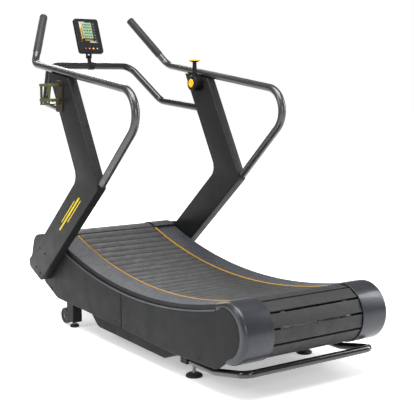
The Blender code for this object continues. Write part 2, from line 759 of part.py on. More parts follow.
def accent_strip(name, side, finish):
    y_from, y_to = REAR_CAP_Y + 0.03, FRONT_CAP_Y - SEAM_GAP
    near = BELT_HALF_WIDTH + RUN_CLEARANCE
    low, high = both_x(side, near, near + STRIP_WIDTH)
    strip = deck_curve(y_from, y_to, 0.0012, 26) + deck_curve(y_to, y_from, -0.010, 26)
    return plate(name, strip, low, high, finish)


def belly_pan(finish):
    """Open-topped tray that closes the space under the slack run of the belt."""
    width = COVER_OUTER_X - COVER_SKIN - 0.008
    front, rear = (0.095, 0.1175), (-0.662, 0.0935)
    bottom = [(0.028, 0.067, 0.05), (-0.585, 0.057, 0.05)]
    outline = [front] + filleted(bottom, 4, front, rear) + [rear]
    pan = plate("belly_pan", outline, -width, width, finish)
    mouth_front, mouth_rear = (front[0] - 0.004, 0.1400), (rear[0] + 0.003, 0.1200)
    inside = [(0.026, 0.0705, 0.045), (-0.583, 0.0605, 0.045)]
    hollow = [mouth_front] + filleted(inside, 4, mouth_front, mouth_rear) + [mouth_rear]
    wall = width - 0.003
    return cut(pan, plate("belly_pan_hollow", hollow, -wall, wall, None))


# ================================================================ uprights and handrails
def upright_lines():
    """Corner points shared by the uprights and what is fixed to them, in (Y, Z)."""
    down = Vector((math.cos(LOWER_LEAN), -math.sin(LOWER_LEAN)))
    up = Vector((math.cos(UPPER_LEAN), math.sin(UPPER_LEAN)))
    knee = Vector((KNEE_Y, KNEE_Z))
    front_low = knee + Vector((math.sin(LOWER_LEAN), math.cos(LOWER_LEAN))) * LOWER_WIDTH
    front_up = knee + Vector((math.sin(UPPER_LEAN), -math.cos(UPPER_LEAN))) * UPPER_WIDTH
    inner_knee = meeting(front_low, down, front_up, up)
    return knee, down, up, front_low, front_up, inner_knee


def rail_height(y):
    """Height of the handrail's sloping straight run."""
    slope = (RAIL_FRONT[1] - RAIL_BACK[1]) / (RAIL_FRONT[0] - RAIL_BACK[0])
    return RAIL_BACK[1] + slope * (y - RAIL_BACK[0])


def upright_outline(inset=0.0, top_gap=RAIL_RADIUS + 0.0005):
    """Bent box seen from the side: base lobe, knee, and a top that follows the handrail."""
    knee, down, up, front_low, front_up, inner_knee = upright_lines()
    slope = (RAIL_FRONT[0] - RAIL_BACK[0], RAIL_FRONT[1] - RAIL_BACK[1])
    under = (RAIL_BACK[0], RAIL_BACK[1] - top_gap * math.hypot(*slope) / slope[0])
    rear_top = meeting(knee, up, under, slope)
    front_top = meeting(front_up, up, under, slope)
    foot_rear = meeting(knee, down, (0.553, 0.212), (1.0, 0.35))
    lobe_top = meeting(front_low, down, (0.50, 0.472), (0.0, 1.0))
    corners = [
        (*foot_rear, 0.012), (0.690, 0.268, 0.040), (0.697, 0.306, 0.010), (0.661, 0.334, 0.010),
        (0.622, 0.452, 0.075), (*lobe_top, 0.015), (*inner_knee, 0.060), (*front_top, 0.0),
        (*rear_top, 0.0), (*knee, 0.020),
    ]
    outline = filleted(corners, 4)
    return inset_outline(outline, inset) if inset else outline


def upright(name, side, finish):
    """Folded steel box, open only under the handrail."""
    low, high = both_x(side, UPRIGHT_INNER_X, UPRIGHT_INNER_X + UPRIGHT_THICKNESS)
    post = plate(name, upright_outline(), low, high, finish)
    wall = UPRIGHT_WALL
    low, high = both_x(side, UPRIGHT_INNER_X + wall, UPRIGHT_INNER_X + UPRIGHT_THICKNESS - wall)
    hollow = upright_outline(wall, top_gap=RAIL_RADIUS - 0.010)
    return cut(post, plate(name + "_hollow", hollow, low, high, None))


def handrail_corners(side):
    x = side * UPRIGHT_MID_X
    tip = Vector((side * GRIP_TIP[0], GRIP_TIP[1], GRIP_TIP[2]))
    return x, Vector((x, *RAIL_BACK)), Vector((x, *RAIL_FRONT)), tip


def handrail(name, side, finish):
    """One bent tube from the knee, round the back, forwards over the upright and up to the grip."""
    x, back, front, tip = handrail_corners(side)
    knee = upright_lines()[0]
    start = Vector((x, knee.x - 0.004, knee.y + 0.022))
    corners = [(start, 0), (back, RAIL_BACK_BEND), (front, RAIL_FRONT_BEND), (tip, 0)]
    return tube(name, bent_path(corners, 7), RAIL_RADIUS, finish)


def grip_axis(side):
    """Tip of a handrail and the direction in which the grip points."""
    *_, front, tip = handrail_corners(side)
    return tip, (tip - front).normalized()


def grip(name, side, finish):
    tip, axis = grip_axis(side)
    inner = bore_radius(RAIL_RADIUS)
    profile = [
        (inner, 0.0), (GRIP_RADIUS - 0.0015, 0.0), (GRIP_RADIUS, -0.003),
        (GRIP_RADIUS, 0.006 - GRIP_LENGTH), (GRIP_RADIUS - 0.0015, -GRIP_LENGTH), (inner, -GRIP_LENGTH),
        (inner, 0.0),
    ]
    return turned(name, profile, tip, axis, finish, steps=20)


def grip_plug(name, side, finish):
    tip, axis = grip_axis(side)
    rim = GRIP_RADIUS - 0.001
    profile = [(rim - 0.003, PLUG_LENGTH), (rim, PLUG_LENGTH - 0.003), (rim, 0.0)]
    return turned(name, profile, tip + axis * FIT_GAP, axis, finish, steps=20)


def crossbar(finish):
    """Bent tube between the uprights' front faces; it carries the console."""
    corners = []
    for side, order in ((-1, 1), (1, -1)):
        ends = [(BAR_FOOT, 0), (BAR_LOW, 0.075), (BAR_HIGH, 0.085)]
        corners += [((side * x, y, z), radius) for (x, y, z), radius in ends[::order]]
    return tube("crossbar", bent_path(corners), BAR_RADIUS, finish)


def trim_to_upright(bar, side, height):
    """Cuts a bar back to a hair off the upright it is welded to, up to this far along the post."""
    low, high = both_x(side, UPRIGHT_INNER_X - 0.02, UPRIGHT_INNER_X + UPRIGHT_THICKNESS + 0.02)
    knee, down, up, front_low, front_up, inner_knee = upright_lines()
    rear = Vector((-up.y, up.x)) * FIT_GAP
    foot = knee + rear - up * 0.02
    head = knee + rear + up * height
    outline = [tuple(p) for p in (foot, head, head - rear / FIT_GAP * (UPPER_WIDTH + 2 * FIT_GAP))]
    outline.append(tuple(foot - rear / FIT_GAP * (UPPER_WIDTH + 2 * FIT_GAP) + up * 0.02))
    return cut(bar, plate(f"{bar.name}_trim_{side + 1}", outline, low, high, None))


# ================================================================ console
def console_axes():
    """Up along the console's face, and out of the face towards the runner."""
    up = Vector((0.0, math.sin(CONSOLE_TILT), math.cos(CONSOLE_TILT)))
    out = Vector((0.0, -math.cos(CONSOLE_TILT), math.sin(CONSOLE_TILT)))
    return up, out


def on_face(across, along, depth=0.0):
    """Design place of a point on the console's face."""
    up, out = console_axes()
    return Vector((across, *CONSOLE_FACE)) + up * along + out * depth


def tilted_box(name, across, along, depth, finish, parent, rounding=0.0):
    """A block given by its spans across, up and out of the console's face."""
    made = box(
        name, (across[0], -depth[1], along[0]), (across[1], -depth[0], along[1]), finish, None,
        rounding,
    )
    matrix = Matrix.Translation((0.0, *CONSOLE_FACE)) @ Matrix.Rotation(-CONSOLE_TILT, 4, "X")
    if parent:
        matrix = Matrix.Translation(-parent.location) @ matrix
        made.parent = parent
    made.data.transform(matrix)
    return made


def console_pivot_place():
    return on_face(0.0, -CONSOLE_HEIGHT / 2 + 0.018, -CONSOLE_DEPTH - 0.014)


def console_housing(finish):
    """Moulded case with a recess for the screen, four button wells and a hinge ear behind."""
    axis = pivot("console_axis", console_pivot_place())
    width, height = CONSOLE_WIDTH / 2, CONSOLE_HEIGHT / 2
    case = tilted_box(
        "console_housing", (-width, width), (-height, height), (-CONSOLE_DEPTH, 0.0), finish, axis,
        0.005,
    )
    low = screen_low()
    sight = tilted_box(
        "screen_recess", (-SCREEN_WIDTH / 2 - FIT_GAP, SCREEN_WIDTH / 2 + FIT_GAP),
        (low - FIT_GAP, low + SCREEN_HEIGHT + FIT_GAP), (-SCREEN_THICKNESS, 0.01), None, axis,
    )
    cut(case, sight)
    up, out = console_axes()
    for index in range(4):
        well = turned(
            f"button_well_{index + 1}", [(BUTTON_RADIUS + 0.0006, 0.004), (BUTTON_RADIUS + 0.0006, -0.006)],
            button_place(index), out, None, axis, steps=16,
        )
        cut(case, well)
    ear_low = -height + 0.018 - 0.009
    ear = tilted_box(
        "hinge_ear", (-0.008, 0.008), (ear_low, ear_low + 0.018), (
            -CONSOLE_DEPTH - 0.022, -CONSOLE_DEPTH + 0.004,
        ),
        None, axis,
    )
    join(case, ear)
    hole = bore_radius(0.004, 16)
    cut(
        case,
        turned(
            "hinge_bore", [(hole, 0.02), (hole, -0.02)], console_pivot_place(), (1, 0, 0), None,
            axis, steps=16,
        ),
    )
    return case


def screen_low():
    """Lower edge of the screen, measured up the face from its middle."""
    return CONSOLE_HEIGHT / 2 - 0.018 - SCREEN_HEIGHT


def console_screen(finish):
    axis = bpy.data.objects["console_axis"]
    low = screen_low()
    return tilted_box(
        "console_screen", (-SCREEN_WIDTH / 2, SCREEN_WIDTH / 2), (low, low + SCREEN_HEIGHT),
        (FIT_GAP - SCREEN_THICKNESS, 0.0005), finish, axis,
    )


def button_place(index):
    return on_face((index - 1.5) * BUTTON_PITCH, -CONSOLE_HEIGHT / 2 + 0.024)


def console_button(index, finish):
    """Round key that sinks into its well along the face's normal."""
    _, out = console_axes()
    travel = pivot(f"console_button_{index + 1}_axis", button_place(index))
    profile = [
        (BUTTON_RADIUS - 0.0015, 0.0022), (BUTTON_RADIUS, 0.0012), (BUTTON_RADIUS, -0.0040),
    ]
    return turned(
        f"console_button_{index + 1}", profile, button_place(index), out, finish, travel, steps=16,
    )


def console_stem(finish):
    """Tube welded up from the crossbar, forked round the console's hinge ear, with its pin."""
    top = console_pivot_place()
    foot = Vector((0.0, BAR_HIGH[1], BAR_HIGH[2] + BAR_RADIUS - 0.003))
    fork_low = top - Vector((0.0, 0.0, 0.026))
    middle = (foot + fork_low) / 2 + Vector((0.0, 0.004, 0.0))
    stem = tube("console_stem", [foot, middle, fork_low], STEM_RADIUS, finish)
    saddle = box(
        "stem_saddle", (-0.020, foot.y - 0.012, foot.z - 0.004),
        (0.020, foot.y + 0.012, foot.z + 0.008), None,
    )
    join(stem, saddle)
    clear = turned(
        "stem_clear", [(BAR_RADIUS + FIT_GAP, 0.05), (BAR_RADIUS + FIT_GAP, -0.05)],
        (0.0, BAR_HIGH[1], BAR_HIGH[2]), (1, 0, 0), None, steps=24,
    )
    cut(stem, clear)
    join(
        stem,
        box(
            "fork_base", (-0.015, top.y - 0.008, top.z - 0.034),
            (0.015, top.y + 0.010, top.z - 0.016), None,
        ),
    )
    for word, side in SIDES:
        low, high = both_x(side, 0.0095, 0.0150)
        join(
            stem,
            box(
                f"fork_{word}", (low, top.y - 0.008, top.z - 0.020),
                (high, top.y + 0.010, top.z + 0.009), None,
            ),
        )
    return join(stem, turned("fork_pin", [(0.004, 0.014), (0.004, -0.014)], top, (1, 0, 0), None, steps=16))


# ================================================================ brake lever and magnet
def brake_hub(finish):
    """Fixed base ring on the right upright with the spigot that the lever turns on."""
    start = UPRIGHT_INNER_X - FIT_GAP
    base, tip = start - HUB_BASE, start - HUB_BASE - HUB_DEPTH + 0.008
    profile = [(HUB_RADIUS, start), (HUB_RADIUS, base), (SPIGOT_RADIUS, base), (SPIGOT_RADIUS, tip)]
    return turned("brake_hub", profile, (0.0, HUB_Y, HUB_Z), (1, 0, 0), finish)


def brake_lever(finish):
    """Drum that turns on the spigot, with the flat lever standing out of its rim."""
    axis = pivot("brake_lever_axis", (UPRIGHT_INNER_X, HUB_Y, HUB_Z))
    outer = UPRIGHT_INNER_X - 2 * FIT_GAP - HUB_BASE
    inner = outer - HUB_DEPTH
    bore = bore_radius(SPIGOT_RADIUS)
    profile = [
        (bore, outer), (HUB_RADIUS, outer), (HUB_RADIUS, inner + 0.008), (
            HUB_RADIUS - 0.003, inner + 0.003,
        ),
        (HUB_RADIUS - 0.008, inner), (bore, inner), (bore, outer),
    ]
    hub = turned("brake_lever", list(reversed(profile)), (0.0, HUB_Y, HUB_Z), (1, 0, 0), finish, axis)
    middle = (outer + inner) / 2
    bar = box(
        "lever_bar", (middle - LEVER_THICKNESS / 2, HUB_Y - LEVER_WIDTH / 2, HUB_Z + HUB_RADIUS - 0.012),
        (middle + LEVER_THICKNESS / 2, HUB_Y + LEVER_WIDTH / 2, HUB_Z + LEVER_LENGTH), None, axis, 0.003,
    )
    return join(hub, bar)


def lever_middle_x():
    return UPRIGHT_INNER_X - 2 * FIT_GAP - HUB_BASE - HUB_DEPTH / 2


def hub_cap(finish):
    axis = bpy.data.objects["brake_lever_axis"]
    face = lever_middle_x() - HUB_DEPTH / 2 - FIT_GAP
    profile = [(HUB_CAP_RADIUS, 0.0), (HUB_CAP_RADIUS, -0.002), (HUB_CAP_RADIUS - 0.003, -0.003)]
    return turned("hub_cap", profile, (face, HUB_Y, HUB_Z), (1, 0, 0), finish, axis)


def lever_knob(finish):
    axis = bpy.data.objects["brake_lever_axis"]
    profile = [
        (KNOB_RADIUS * 0.55, KNOB_HEIGHT), (KNOB_RADIUS * 0.90, KNOB_HEIGHT * 0.86), (
            KNOB_RADIUS, KNOB_HEIGHT * 0.62,
        ),
        (KNOB_RADIUS, KNOB_HEIGHT * 0.45), (KNOB_RADIUS * 0.62, 0.002), (KNOB_RADIUS * 0.58, 0.0),
    ]
    return turned(
        "lever_knob", profile, (lever_middle_x(), HUB_Y, HUB_Z + LEVER_LENGTH + FIT_GAP), (0, 0, 1),
        finish, axis,
    )


def magnet_carrier(finish):
    """Fork whose two magnet plates swing over the disc; its barrel turns on the frame's pin."""
    axis = pivot("magnet_axis", (DISC_X, *MAGNET_PIVOT))
    gap = DISC_THICKNESS / 2 + MAGNET_AIR
    outer = gap + MAGNET_PLATE
    barrel = turned(
        "magnet_carrier", [(0.012, outer + 0.001), (0.012, -outer - 0.001)], (DISC_X, *MAGNET_PIVOT), (
            1, 0, 0,
        ),
        finish, axis, steps=16,
    )
    y, z = MAGNET_PIVOT
    blade = filleted([
        (y - 0.008, z + 0.004, 0.004), (y + 0.008, z - 0.004, 0.004), (y + 0.046, z + 0.065, 0.008),
        (y + 0.020, z + 0.082, 0.008),
    ], 2)
    for word, sign in SIDES:
        low, high = both_x(sign, gap, outer)
        join(barrel, plate(f"magnet_plate_{word}", blade, DISC_X + low, DISC_X + high, None, axis))
    bore = bore_radius(MAGNET_PIN_RADIUS, 16)
    return cut(barrel, turned(
        "magnet_bore", [(bore, 0.03), (bore, -0.03)], (DISC_X, *MAGNET_PIVOT), (1, 0, 0), None, axis,
        steps=16,
    ))


def magnet_pin(frame, side):
    """Pin that stands out of the right side frame for the magnet carrier."""
    low, high = both_x(side, FRAME_OUTER_X - 0.004, DISC_X + 0.016)
    return join(
        frame,
        turned(
            "magnet_pin", [(MAGNET_PIN_RADIUS, high), (MAGNET_PIN_RADIUS, low)],
            (0.0, *MAGNET_PIVOT), (1, 0, 0), None, steps=16,
        ),
    )


# ================================================================ bottle holder
def bottle_holder(finish):
    """Back plate on the left upright's outer face with two open hoops and a base strip."""
    face = -(UPRIGHT_INNER_X + UPRIGHT_THICKNESS + FIT_GAP)
    holder = box(
        "bottle_holder", (face - CAGE_PLATE, BOTTLE_Y - 0.034, CAGE_LOW_Z), (
            face, BOTTLE_Y + 0.034, CAGE_HIGH_Z,
        ),
        finish, rounding=0.0015,
    )
    outer = BOTTLE_RADIUS + HOOP_WALL
    x = face - CAGE_PLATE - outer + HOOP_WALL * 0.4
    for word, z in (("low", CAGE_LOW_Z + 0.052), ("high", CAGE_HIGH_Z - 0.030)):
        hoop = ring_profile(BOTTLE_RADIUS, outer, 0.0, HOOP_HEIGHT)
        join(holder, turned(f"hoop_{word}", hoop, (x, BOTTLE_Y, z), (0, 0, 1), None, steps=24))
    low, high = CAGE_LOW_Z + 0.036, CAGE_HIGH_Z - 0.020
    for index, turn in enumerate((120, 180, 240)):
        reach = BOTTLE_RADIUS + HOOP_WALL / 2
        post = box(
            f"cage_post_{index}", (-HOOP_WALL * 0.42, -0.005, low), (HOOP_WALL * 0.42, 0.005, high),
            None,
        )
        turn_mesh(post, math.radians(turn), "Z", (0, 0, 0))
        post.data.transform(Matrix.Translation((
            x + reach * math.cos(math.radians(turn)), BOTTLE_Y + reach * math.sin(math.radians(turn)), 0.0,
        )))
        join(holder, post)
    base = box(
        "cage_base", (x - outer + 0.001, BOTTLE_Y - 0.012, low),
        (face - 0.001, BOTTLE_Y + 0.012, low + 0.006), None,
    )
    return join(holder, base)


# ================================================================ the whole machine
def build():
    frame_paint = material("frame_powder_coat", (0.052, 0.054, 0.056), 0.42, 0.3)
    cover_paint = material("cover_satin_charcoal", (0.044, 0.047, 0.049), 0.45, 0.1)
    cap_gloss = material("cap_graphite_gloss", (0.050, 0.056, 0.066), 0.22, 0.3)
    rail_paint = material("handrail_gloss", (0.070, 0.074, 0.078), 0.24, 0.6)
    slat_rubber = material("slat_rubber", (0.075, 0.076, 0.076), 0.62)
    rail_plastic = material("foot_rail_plastic", (0.070, 0.071, 0.082), 0.60)
    black_plastic = material("black_plastic", (0.012, 0.012, 0.013), 0.50)
    black_rubber = material("black_rubber", (0.018, 0.017, 0.016), 0.75)
    pan_plastic = material("belly_pan_plastic", (0.020, 0.021, 0.021), 0.55)
    yellow = material("accent_yellow", (0.745, 0.400, 0.025), 0.45)
    steel = material("bright_steel", (0.55, 0.55, 0.56), 0.30, 1.0)
    glass = material("screen_glass", (0.110, 0.125, 0.105), 0.12)

    slat_belt(slat_rubber)
    drum("front_drum", FRONT_DRUM, steel)
    drum("rear_drum", REAR_DRUM, steel)
    brake_disc(steel)
    cross_member("cross_member_front", LEG_Y, 0.235, 0.050, frame_paint)
    cross_member("cross_member_middle", -0.450, 0.200, 0.050, frame_paint)
    foot_beam(frame_paint)
    belly_pan(pan_plastic)
    lift_handle(rail_paint)
    bar = crossbar(black_plastic)
    for word, side in SIDES:
        frame = side_frame(f"side_frame_{word}", side, frame_paint)
        if side > 0:
            magnet_pin(frame, side)
        bearing_block(f"front_bearing_{word}", FRONT_DRUM, side, steel)
        bearing_block(f"rear_bearing_{word}", REAR_DRUM, side, steel)
        roller_track(f"roller_track_{word}", side, steel)
        front_leg(f"front_leg_{word}", side, frame_paint)
        side_cover(f"side_cover_front_{word}", cover_front_outline(), side, cover_paint, True)
        side_cover(f"side_cover_rear_{word}", cover_rear_outline(), side, cover_paint, False)
        end_cap(f"rear_end_cap_{word}", rear_cap_outline(), side, REAR_CAP_Y, cap_gloss)
        end_cap(f"front_end_cap_{word}", front_cap_outline(), side, FRONT_CAP_Y, cap_gloss)
        foot_rail(f"foot_rail_{word}", side, rail_plastic)
        accent_strip(f"accent_strip_{word}", side, yellow)
        upright(f"upright_{word}", side, frame_paint)
        trim_to_upright(handrail(f"handrail_{word}", side, rail_paint), side, 0.40)
        trim_to_upright(bar, side, 0.62)
        grip(f"grip_{word}", side, black_rubber)
        grip_plug(f"grip_plug_{word}", side, black_plastic)
        foot_x = (LEG_INNER_X + COVER_OUTER_X - COVER_SKIN - FIT_GAP) / 2
        foot(f"front_foot_{word}", (side * foot_x, LEG_Y, 0.0), FRONT_FOOT_RADIUS, 0.068, black_rubber)
        foot(f"rear_foot_{word}", (side * REAR_FOOT_X, BEAM_Y, 0.0), REAR_FOOT_RADIUS, 0.090, black_rubber)
        transport_wheel(f"transport_wheel_{word}", side, black_rubber)
    console_housing(black_plastic)
    console_screen(glass)
    button_paint = (
        material("button_red", (0.22, 0.02, 0.02), 0.45),
        material("button_white", (0.70, 0.70, 0.68), 0.45), yellow,
    )
    for index, paint in enumerate((0, 1, 2, 1)):
        console_button(index, button_paint[paint])
    console_stem(black_plastic)
    brake_hub(black_plastic)
    brake_lever(black_plastic)
    hub_cap(yellow)
    lever_knob(yellow)
    magnet_carrier(steel)
    bottle_holder(black_plastic)


def shade(limit=math.radians(35)):
    for obj in PARTS.objects:
        if obj.type == "MESH":
            obj.data.shade_smooth()
            obj.data.set_sharp_from_angle(angle=limit)


def centre_on_floor():
    """Moves the datum so that the middle of the whole footprint is the world origin."""
    bpy.context.view_layer.update()
    graph = bpy.context.evaluated_depsgraph_get()
    corners = []
    for obj in PARTS.objects:
        if obj.type == "MESH":
            seen = obj.evaluated_get(graph)
            corners += [seen.matrix_world @ Vector(corner) for corner in seen.bound_box]
    points = np.array(corners)
    middle = (points.min(axis=0) + points.max(axis=0)) / 2
    DATUM.location = (-middle[0], -middle[1], -points[:, 2].min())
    bpy.context.view_layer.update()


clear_scene()
PARTS = new_collection("curved_treadmill")
CUTTERS = new_collection("cutters")
CUTTERS.hide_render = True
DATUM = bpy.data.objects.new("datum", None)
PARTS.objects.link(DATUM)
build()
shade()
centre_on_floor()
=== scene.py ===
"""Looks of the curved manual treadmill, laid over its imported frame.

Sizes are metres. Shapes are surfaces worked out with numpy: sections carried along paths,
turned profiles and flat outlines. Places come from the frame's joints and boxes.
"""
import json
import math

import bmesh
import bpy
import numpy as np
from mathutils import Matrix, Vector


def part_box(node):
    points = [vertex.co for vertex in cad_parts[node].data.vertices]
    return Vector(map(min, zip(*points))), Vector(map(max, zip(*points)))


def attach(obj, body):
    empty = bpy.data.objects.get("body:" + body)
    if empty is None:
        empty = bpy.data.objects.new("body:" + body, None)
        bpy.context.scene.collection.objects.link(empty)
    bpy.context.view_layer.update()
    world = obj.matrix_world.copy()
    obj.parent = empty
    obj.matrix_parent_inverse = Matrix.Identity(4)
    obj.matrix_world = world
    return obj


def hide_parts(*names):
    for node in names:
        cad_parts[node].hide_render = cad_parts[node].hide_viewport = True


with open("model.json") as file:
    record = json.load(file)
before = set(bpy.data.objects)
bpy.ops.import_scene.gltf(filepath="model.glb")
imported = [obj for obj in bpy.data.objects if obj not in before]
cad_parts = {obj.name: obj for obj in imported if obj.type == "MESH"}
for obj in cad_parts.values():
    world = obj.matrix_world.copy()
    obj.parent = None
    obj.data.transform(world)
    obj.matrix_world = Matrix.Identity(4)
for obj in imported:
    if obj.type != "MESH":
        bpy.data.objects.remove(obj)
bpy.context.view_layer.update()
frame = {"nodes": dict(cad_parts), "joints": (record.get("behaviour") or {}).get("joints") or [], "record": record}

ROOT = "frame"
SIDES = (("left", -1), ("right", 1))
JOINTS = {joint["name"]: joint for joint in frame["joints"]}


def joint_place(name):
    return np.array(JOINTS[name]["pos_m"], float)


# ---------------------------------------------------------------- sizes shared with the frame
DECK_RADIUS = 2.58
DRUM_OUTER = 0.122
SLAT_HEIGHT = 0.013
BAND_THICKNESS = 0.003
SLAT_NOMINAL_PITCH = 0.060
SLAT_GAP = 0.0022
LOWER_SAG = 0.050
RAIL_RADIUS = 0.019
GRIP_RADIUS = 0.0215
BAR_RADIUS = 0.0190
HANDLE_RADIUS = 0.016
CONSOLE_TILT = math.radians(21.6)

BELT_LOW, BELT_HIGH = (np.array(corner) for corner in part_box("slat_belt"))
CENTRE_X = (BELT_LOW[0] + BELT_HIGH[0]) / 2
BELT_HALF = (BELT_HIGH[0] - BELT_LOW[0]) / 2
FRONT_DRUM = joint_place("front_drum_spin")[1:]
REAR_DRUM = joint_place("rear_drum_spin")[1:]
SHIFT = np.array([CENTRE_X, FRONT_DRUM[0] - 0.555, 0.0])   # from the design's axes to the frame's


# ================================================================ shape tools
def mesh_piece(name, verts, faces, smooth=True, angle=35.0):
    """A new mesh object from plain arrays, its doubles merged and its normals facing out."""
    mesh = bpy.data.meshes.new(name)
    mesh.from_pydata(np.asarray(verts, float).tolist(), [], [tuple(map(int, face)) for face in faces])
    shape = bmesh.new()
    shape.from_mesh(mesh)
    bmesh.ops.remove_doubles(shape, verts=shape.verts, dist=0.000005)
    bmesh.ops.dissolve_degenerate(shape, edges=shape.edges, dist=0.000004)
    bmesh.ops.recalc_face_normals(shape, faces=shape.faces)
    shape.to_mesh(mesh)
    shape.free()
    if smooth:
        mesh.shade_smooth()
        mesh.set_sharp_from_angle(angle=math.radians(angle))
    obj = bpy.data.objects.new(name, mesh)
    bpy.context.scene.collection.objects.link(obj)
    return obj


def grid_faces(rows, cols, close_rows=False, close_cols=False, start=0):
    """Quads of a rows by cols grid of points, wrapped round where asked."""
    r = np.arange(rows if close_rows else rows - 1)
    c = np.arange(cols if close_cols else cols - 1)
    a = (r[:, None] * cols + c[None, :]).ravel()
    b = (r[:, None] * cols + (c[None, :] + 1) % cols).ravel()
    d = (((r[:, None] + 1) % rows) * cols + c[None, :]).ravel()
    e = (((r[:, None] + 1) % rows) * cols + (c[None, :] + 1) % cols).ravel()
    return np.stack([a, b, e, d], axis=1) + start


def unit(v):
    v = np.asarray(v, float)
    return v / np.linalg.norm(v, axis=-1, keepdims=True)


def arc_corner(corner, before, after, radius, steps):
    """Points of the arc that rounds a corner: both tangent points and the circle between."""
    corner, before, after = (np.asarray(p, float) for p in (corner, before, after))
    a, b = unit(before - corner), unit(after - corner)
    half = math.acos(float(np.clip(a @ b, -1, 1))) / 2
    limit = 0.49 * min(np.linalg.norm(before - corner), np.linalg.norm(after - corner))
    reach = min(radius / math.tan(half), limit)
    radius = reach * math.tan(half)
    centre = corner + unit(a + b) * radius / math.sin(half)
    start, end = corner + a * reach - centre, corner + b * reach - centre
    whole = math.pi - 2 * half
    t = np.linspace(0, 1, steps + 1)[:, None]
    return centre + (np.sin((1 - t) * whole) * start + np.sin(t * whole) * end) / math.sin(whole)


def rounded_path(corners, steps=14, closed=False):
    """Path through (point, radius) corners; an open path keeps its first and last points."""
    places = [np.asarray(place, float) for place, _ in corners]
    count, rows = len(corners), []
    for index, (place, radius) in enumerate(corners):
        if not closed and index in (0, count - 1) or radius <= 0:
            rows.append(np.asarray(place, float)[None, :])
            continue
        rows.append(arc_corner(place, places[index - 1], places[(index + 1) % count], radius, steps))
    return np.concatenate(rows)


def tube_surface(path, radii, sides=28):
    """A round section carried along a path with a frame that never twists; ends closed by a fan.

    radii is one radius or one for each path point. Each ring is centre + r (cos u N + sin u B).
    """
    path = np.asarray(path, float)
    radii = np.broadcast_to(np.asarray(radii, float), (len(path),))
    tangent = unit(np.gradient(path, axis=0))
    normal = np.zeros_like(path)
    guess = np.array([1.0, 0.0, 0.0]) if abs(tangent[0][0]) < 0.8 else np.array([0.0, 0.0, 1.0])
    normal[0] = unit(guess - tangent[0] * (guess @ tangent[0]))
    for i in range(1, len(path)):
        carried = normal[i - 1] - tangent[i] * (normal[i - 1] @ tangent[i])
        normal[i] = unit(carried)
    binormal = np.cross(tangent, normal)
    u = np.linspace(0, 2 * math.pi, sides, endpoint=False)
    rings = path[:, None, :] + radii[:, None, None] * (
        np.cos(u)[None, :, None] * normal[:, None, :] + np.sin(u)[None, :, None] * binormal[:, None, :]
    )
    verts = np.concatenate([rings.reshape(-1, 3), path[:1], path[-1:]])
    faces = [tuple(f) for f in grid_faces(len(path), sides, close_cols=True)]
    first, last = len(verts) - 2, len(verts) - 1
    end = (len(path) - 1) * sides
    for k in range(sides):
        faces.append((first, (k + 1) % sides, k))
        faces.append((last, end + k, end + (k + 1) % sides))
    return verts, faces


def tube_piece(name, path, radii, sides=28):
    return mesh_piece(name, *tube_surface(path, radii, sides), angle=50)


def lathe_surface(profile, place, axis, sides=48):
    """A (radius, height) profile turned about an axis through a place; open ends run to the axis."""
    axis = unit(axis)
    guess = np.array([0.0, 0.0, 1.0]) if abs(axis[2]) < 0.8 else np.array([0.0, 1.0, 0.0])
    side = unit(np.cross(guess, axis))
    other = np.cross(axis, side)
    profile = np.asarray(profile, float)
    u = np.linspace(0, 2 * math.pi, sides, endpoint=False)
    spread = np.cos(u)[:, None] * side + np.sin(u)[:, None] * other
    rings = np.asarray(place) + profile[:, 1, None, None] * axis + profile[:, 0, None, None] * spread[None]
    return rings.reshape(-1, 3), grid_faces(len(profile), sides, close_cols=True)


def lathe_piece(name, profile, place, axis, sides=48, angle=35):
    """Turned piece; a profile that doesn't return to its start is closed on the axis."""
    profile = [tuple(point) for point in profile]
    if profile[0] != profile[-1]:
        profile = [(0.0, profile[0][1]), *profile, (0.0, profile[-1][1])]
    verts, faces = lathe_surface(profile, place, axis, sides)
    return mesh_piece(name, verts, faces, angle=angle)


def joined(name, surfaces, smooth=True, angle=35.0):
    """Several closed surfaces as one piece."""
    verts, faces, start = [], [], 0
    for points, quads in surfaces:
        verts.append(np.asarray(points, float))
        faces += [tuple(np.asarray(face) + start) for face in quads]
        start += len(points)
    return mesh_piece(name, np.concatenate(verts), faces, smooth, angle)


def body_of_node(node):
    return next(body for body, nodes in frame["record"]["behaviour"]["bodies"].items() if node in nodes)


def place_piece(obj, body, nodes=(), finish=None, slot=None):
    """Rides a finished piece on its body, paints it, and hides the CAD nodes it stands for."""
    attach(obj, body)
    if nodes:
        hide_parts(*nodes)
    if finish:
        obj.data.materials.clear()
        obj.data.materials.append(finish)
    return obj


def at(x, y, z):
    """A design place, given from the running centreline, in the frame's axes."""
    return np.array([x, y, z], float) + SHIFT


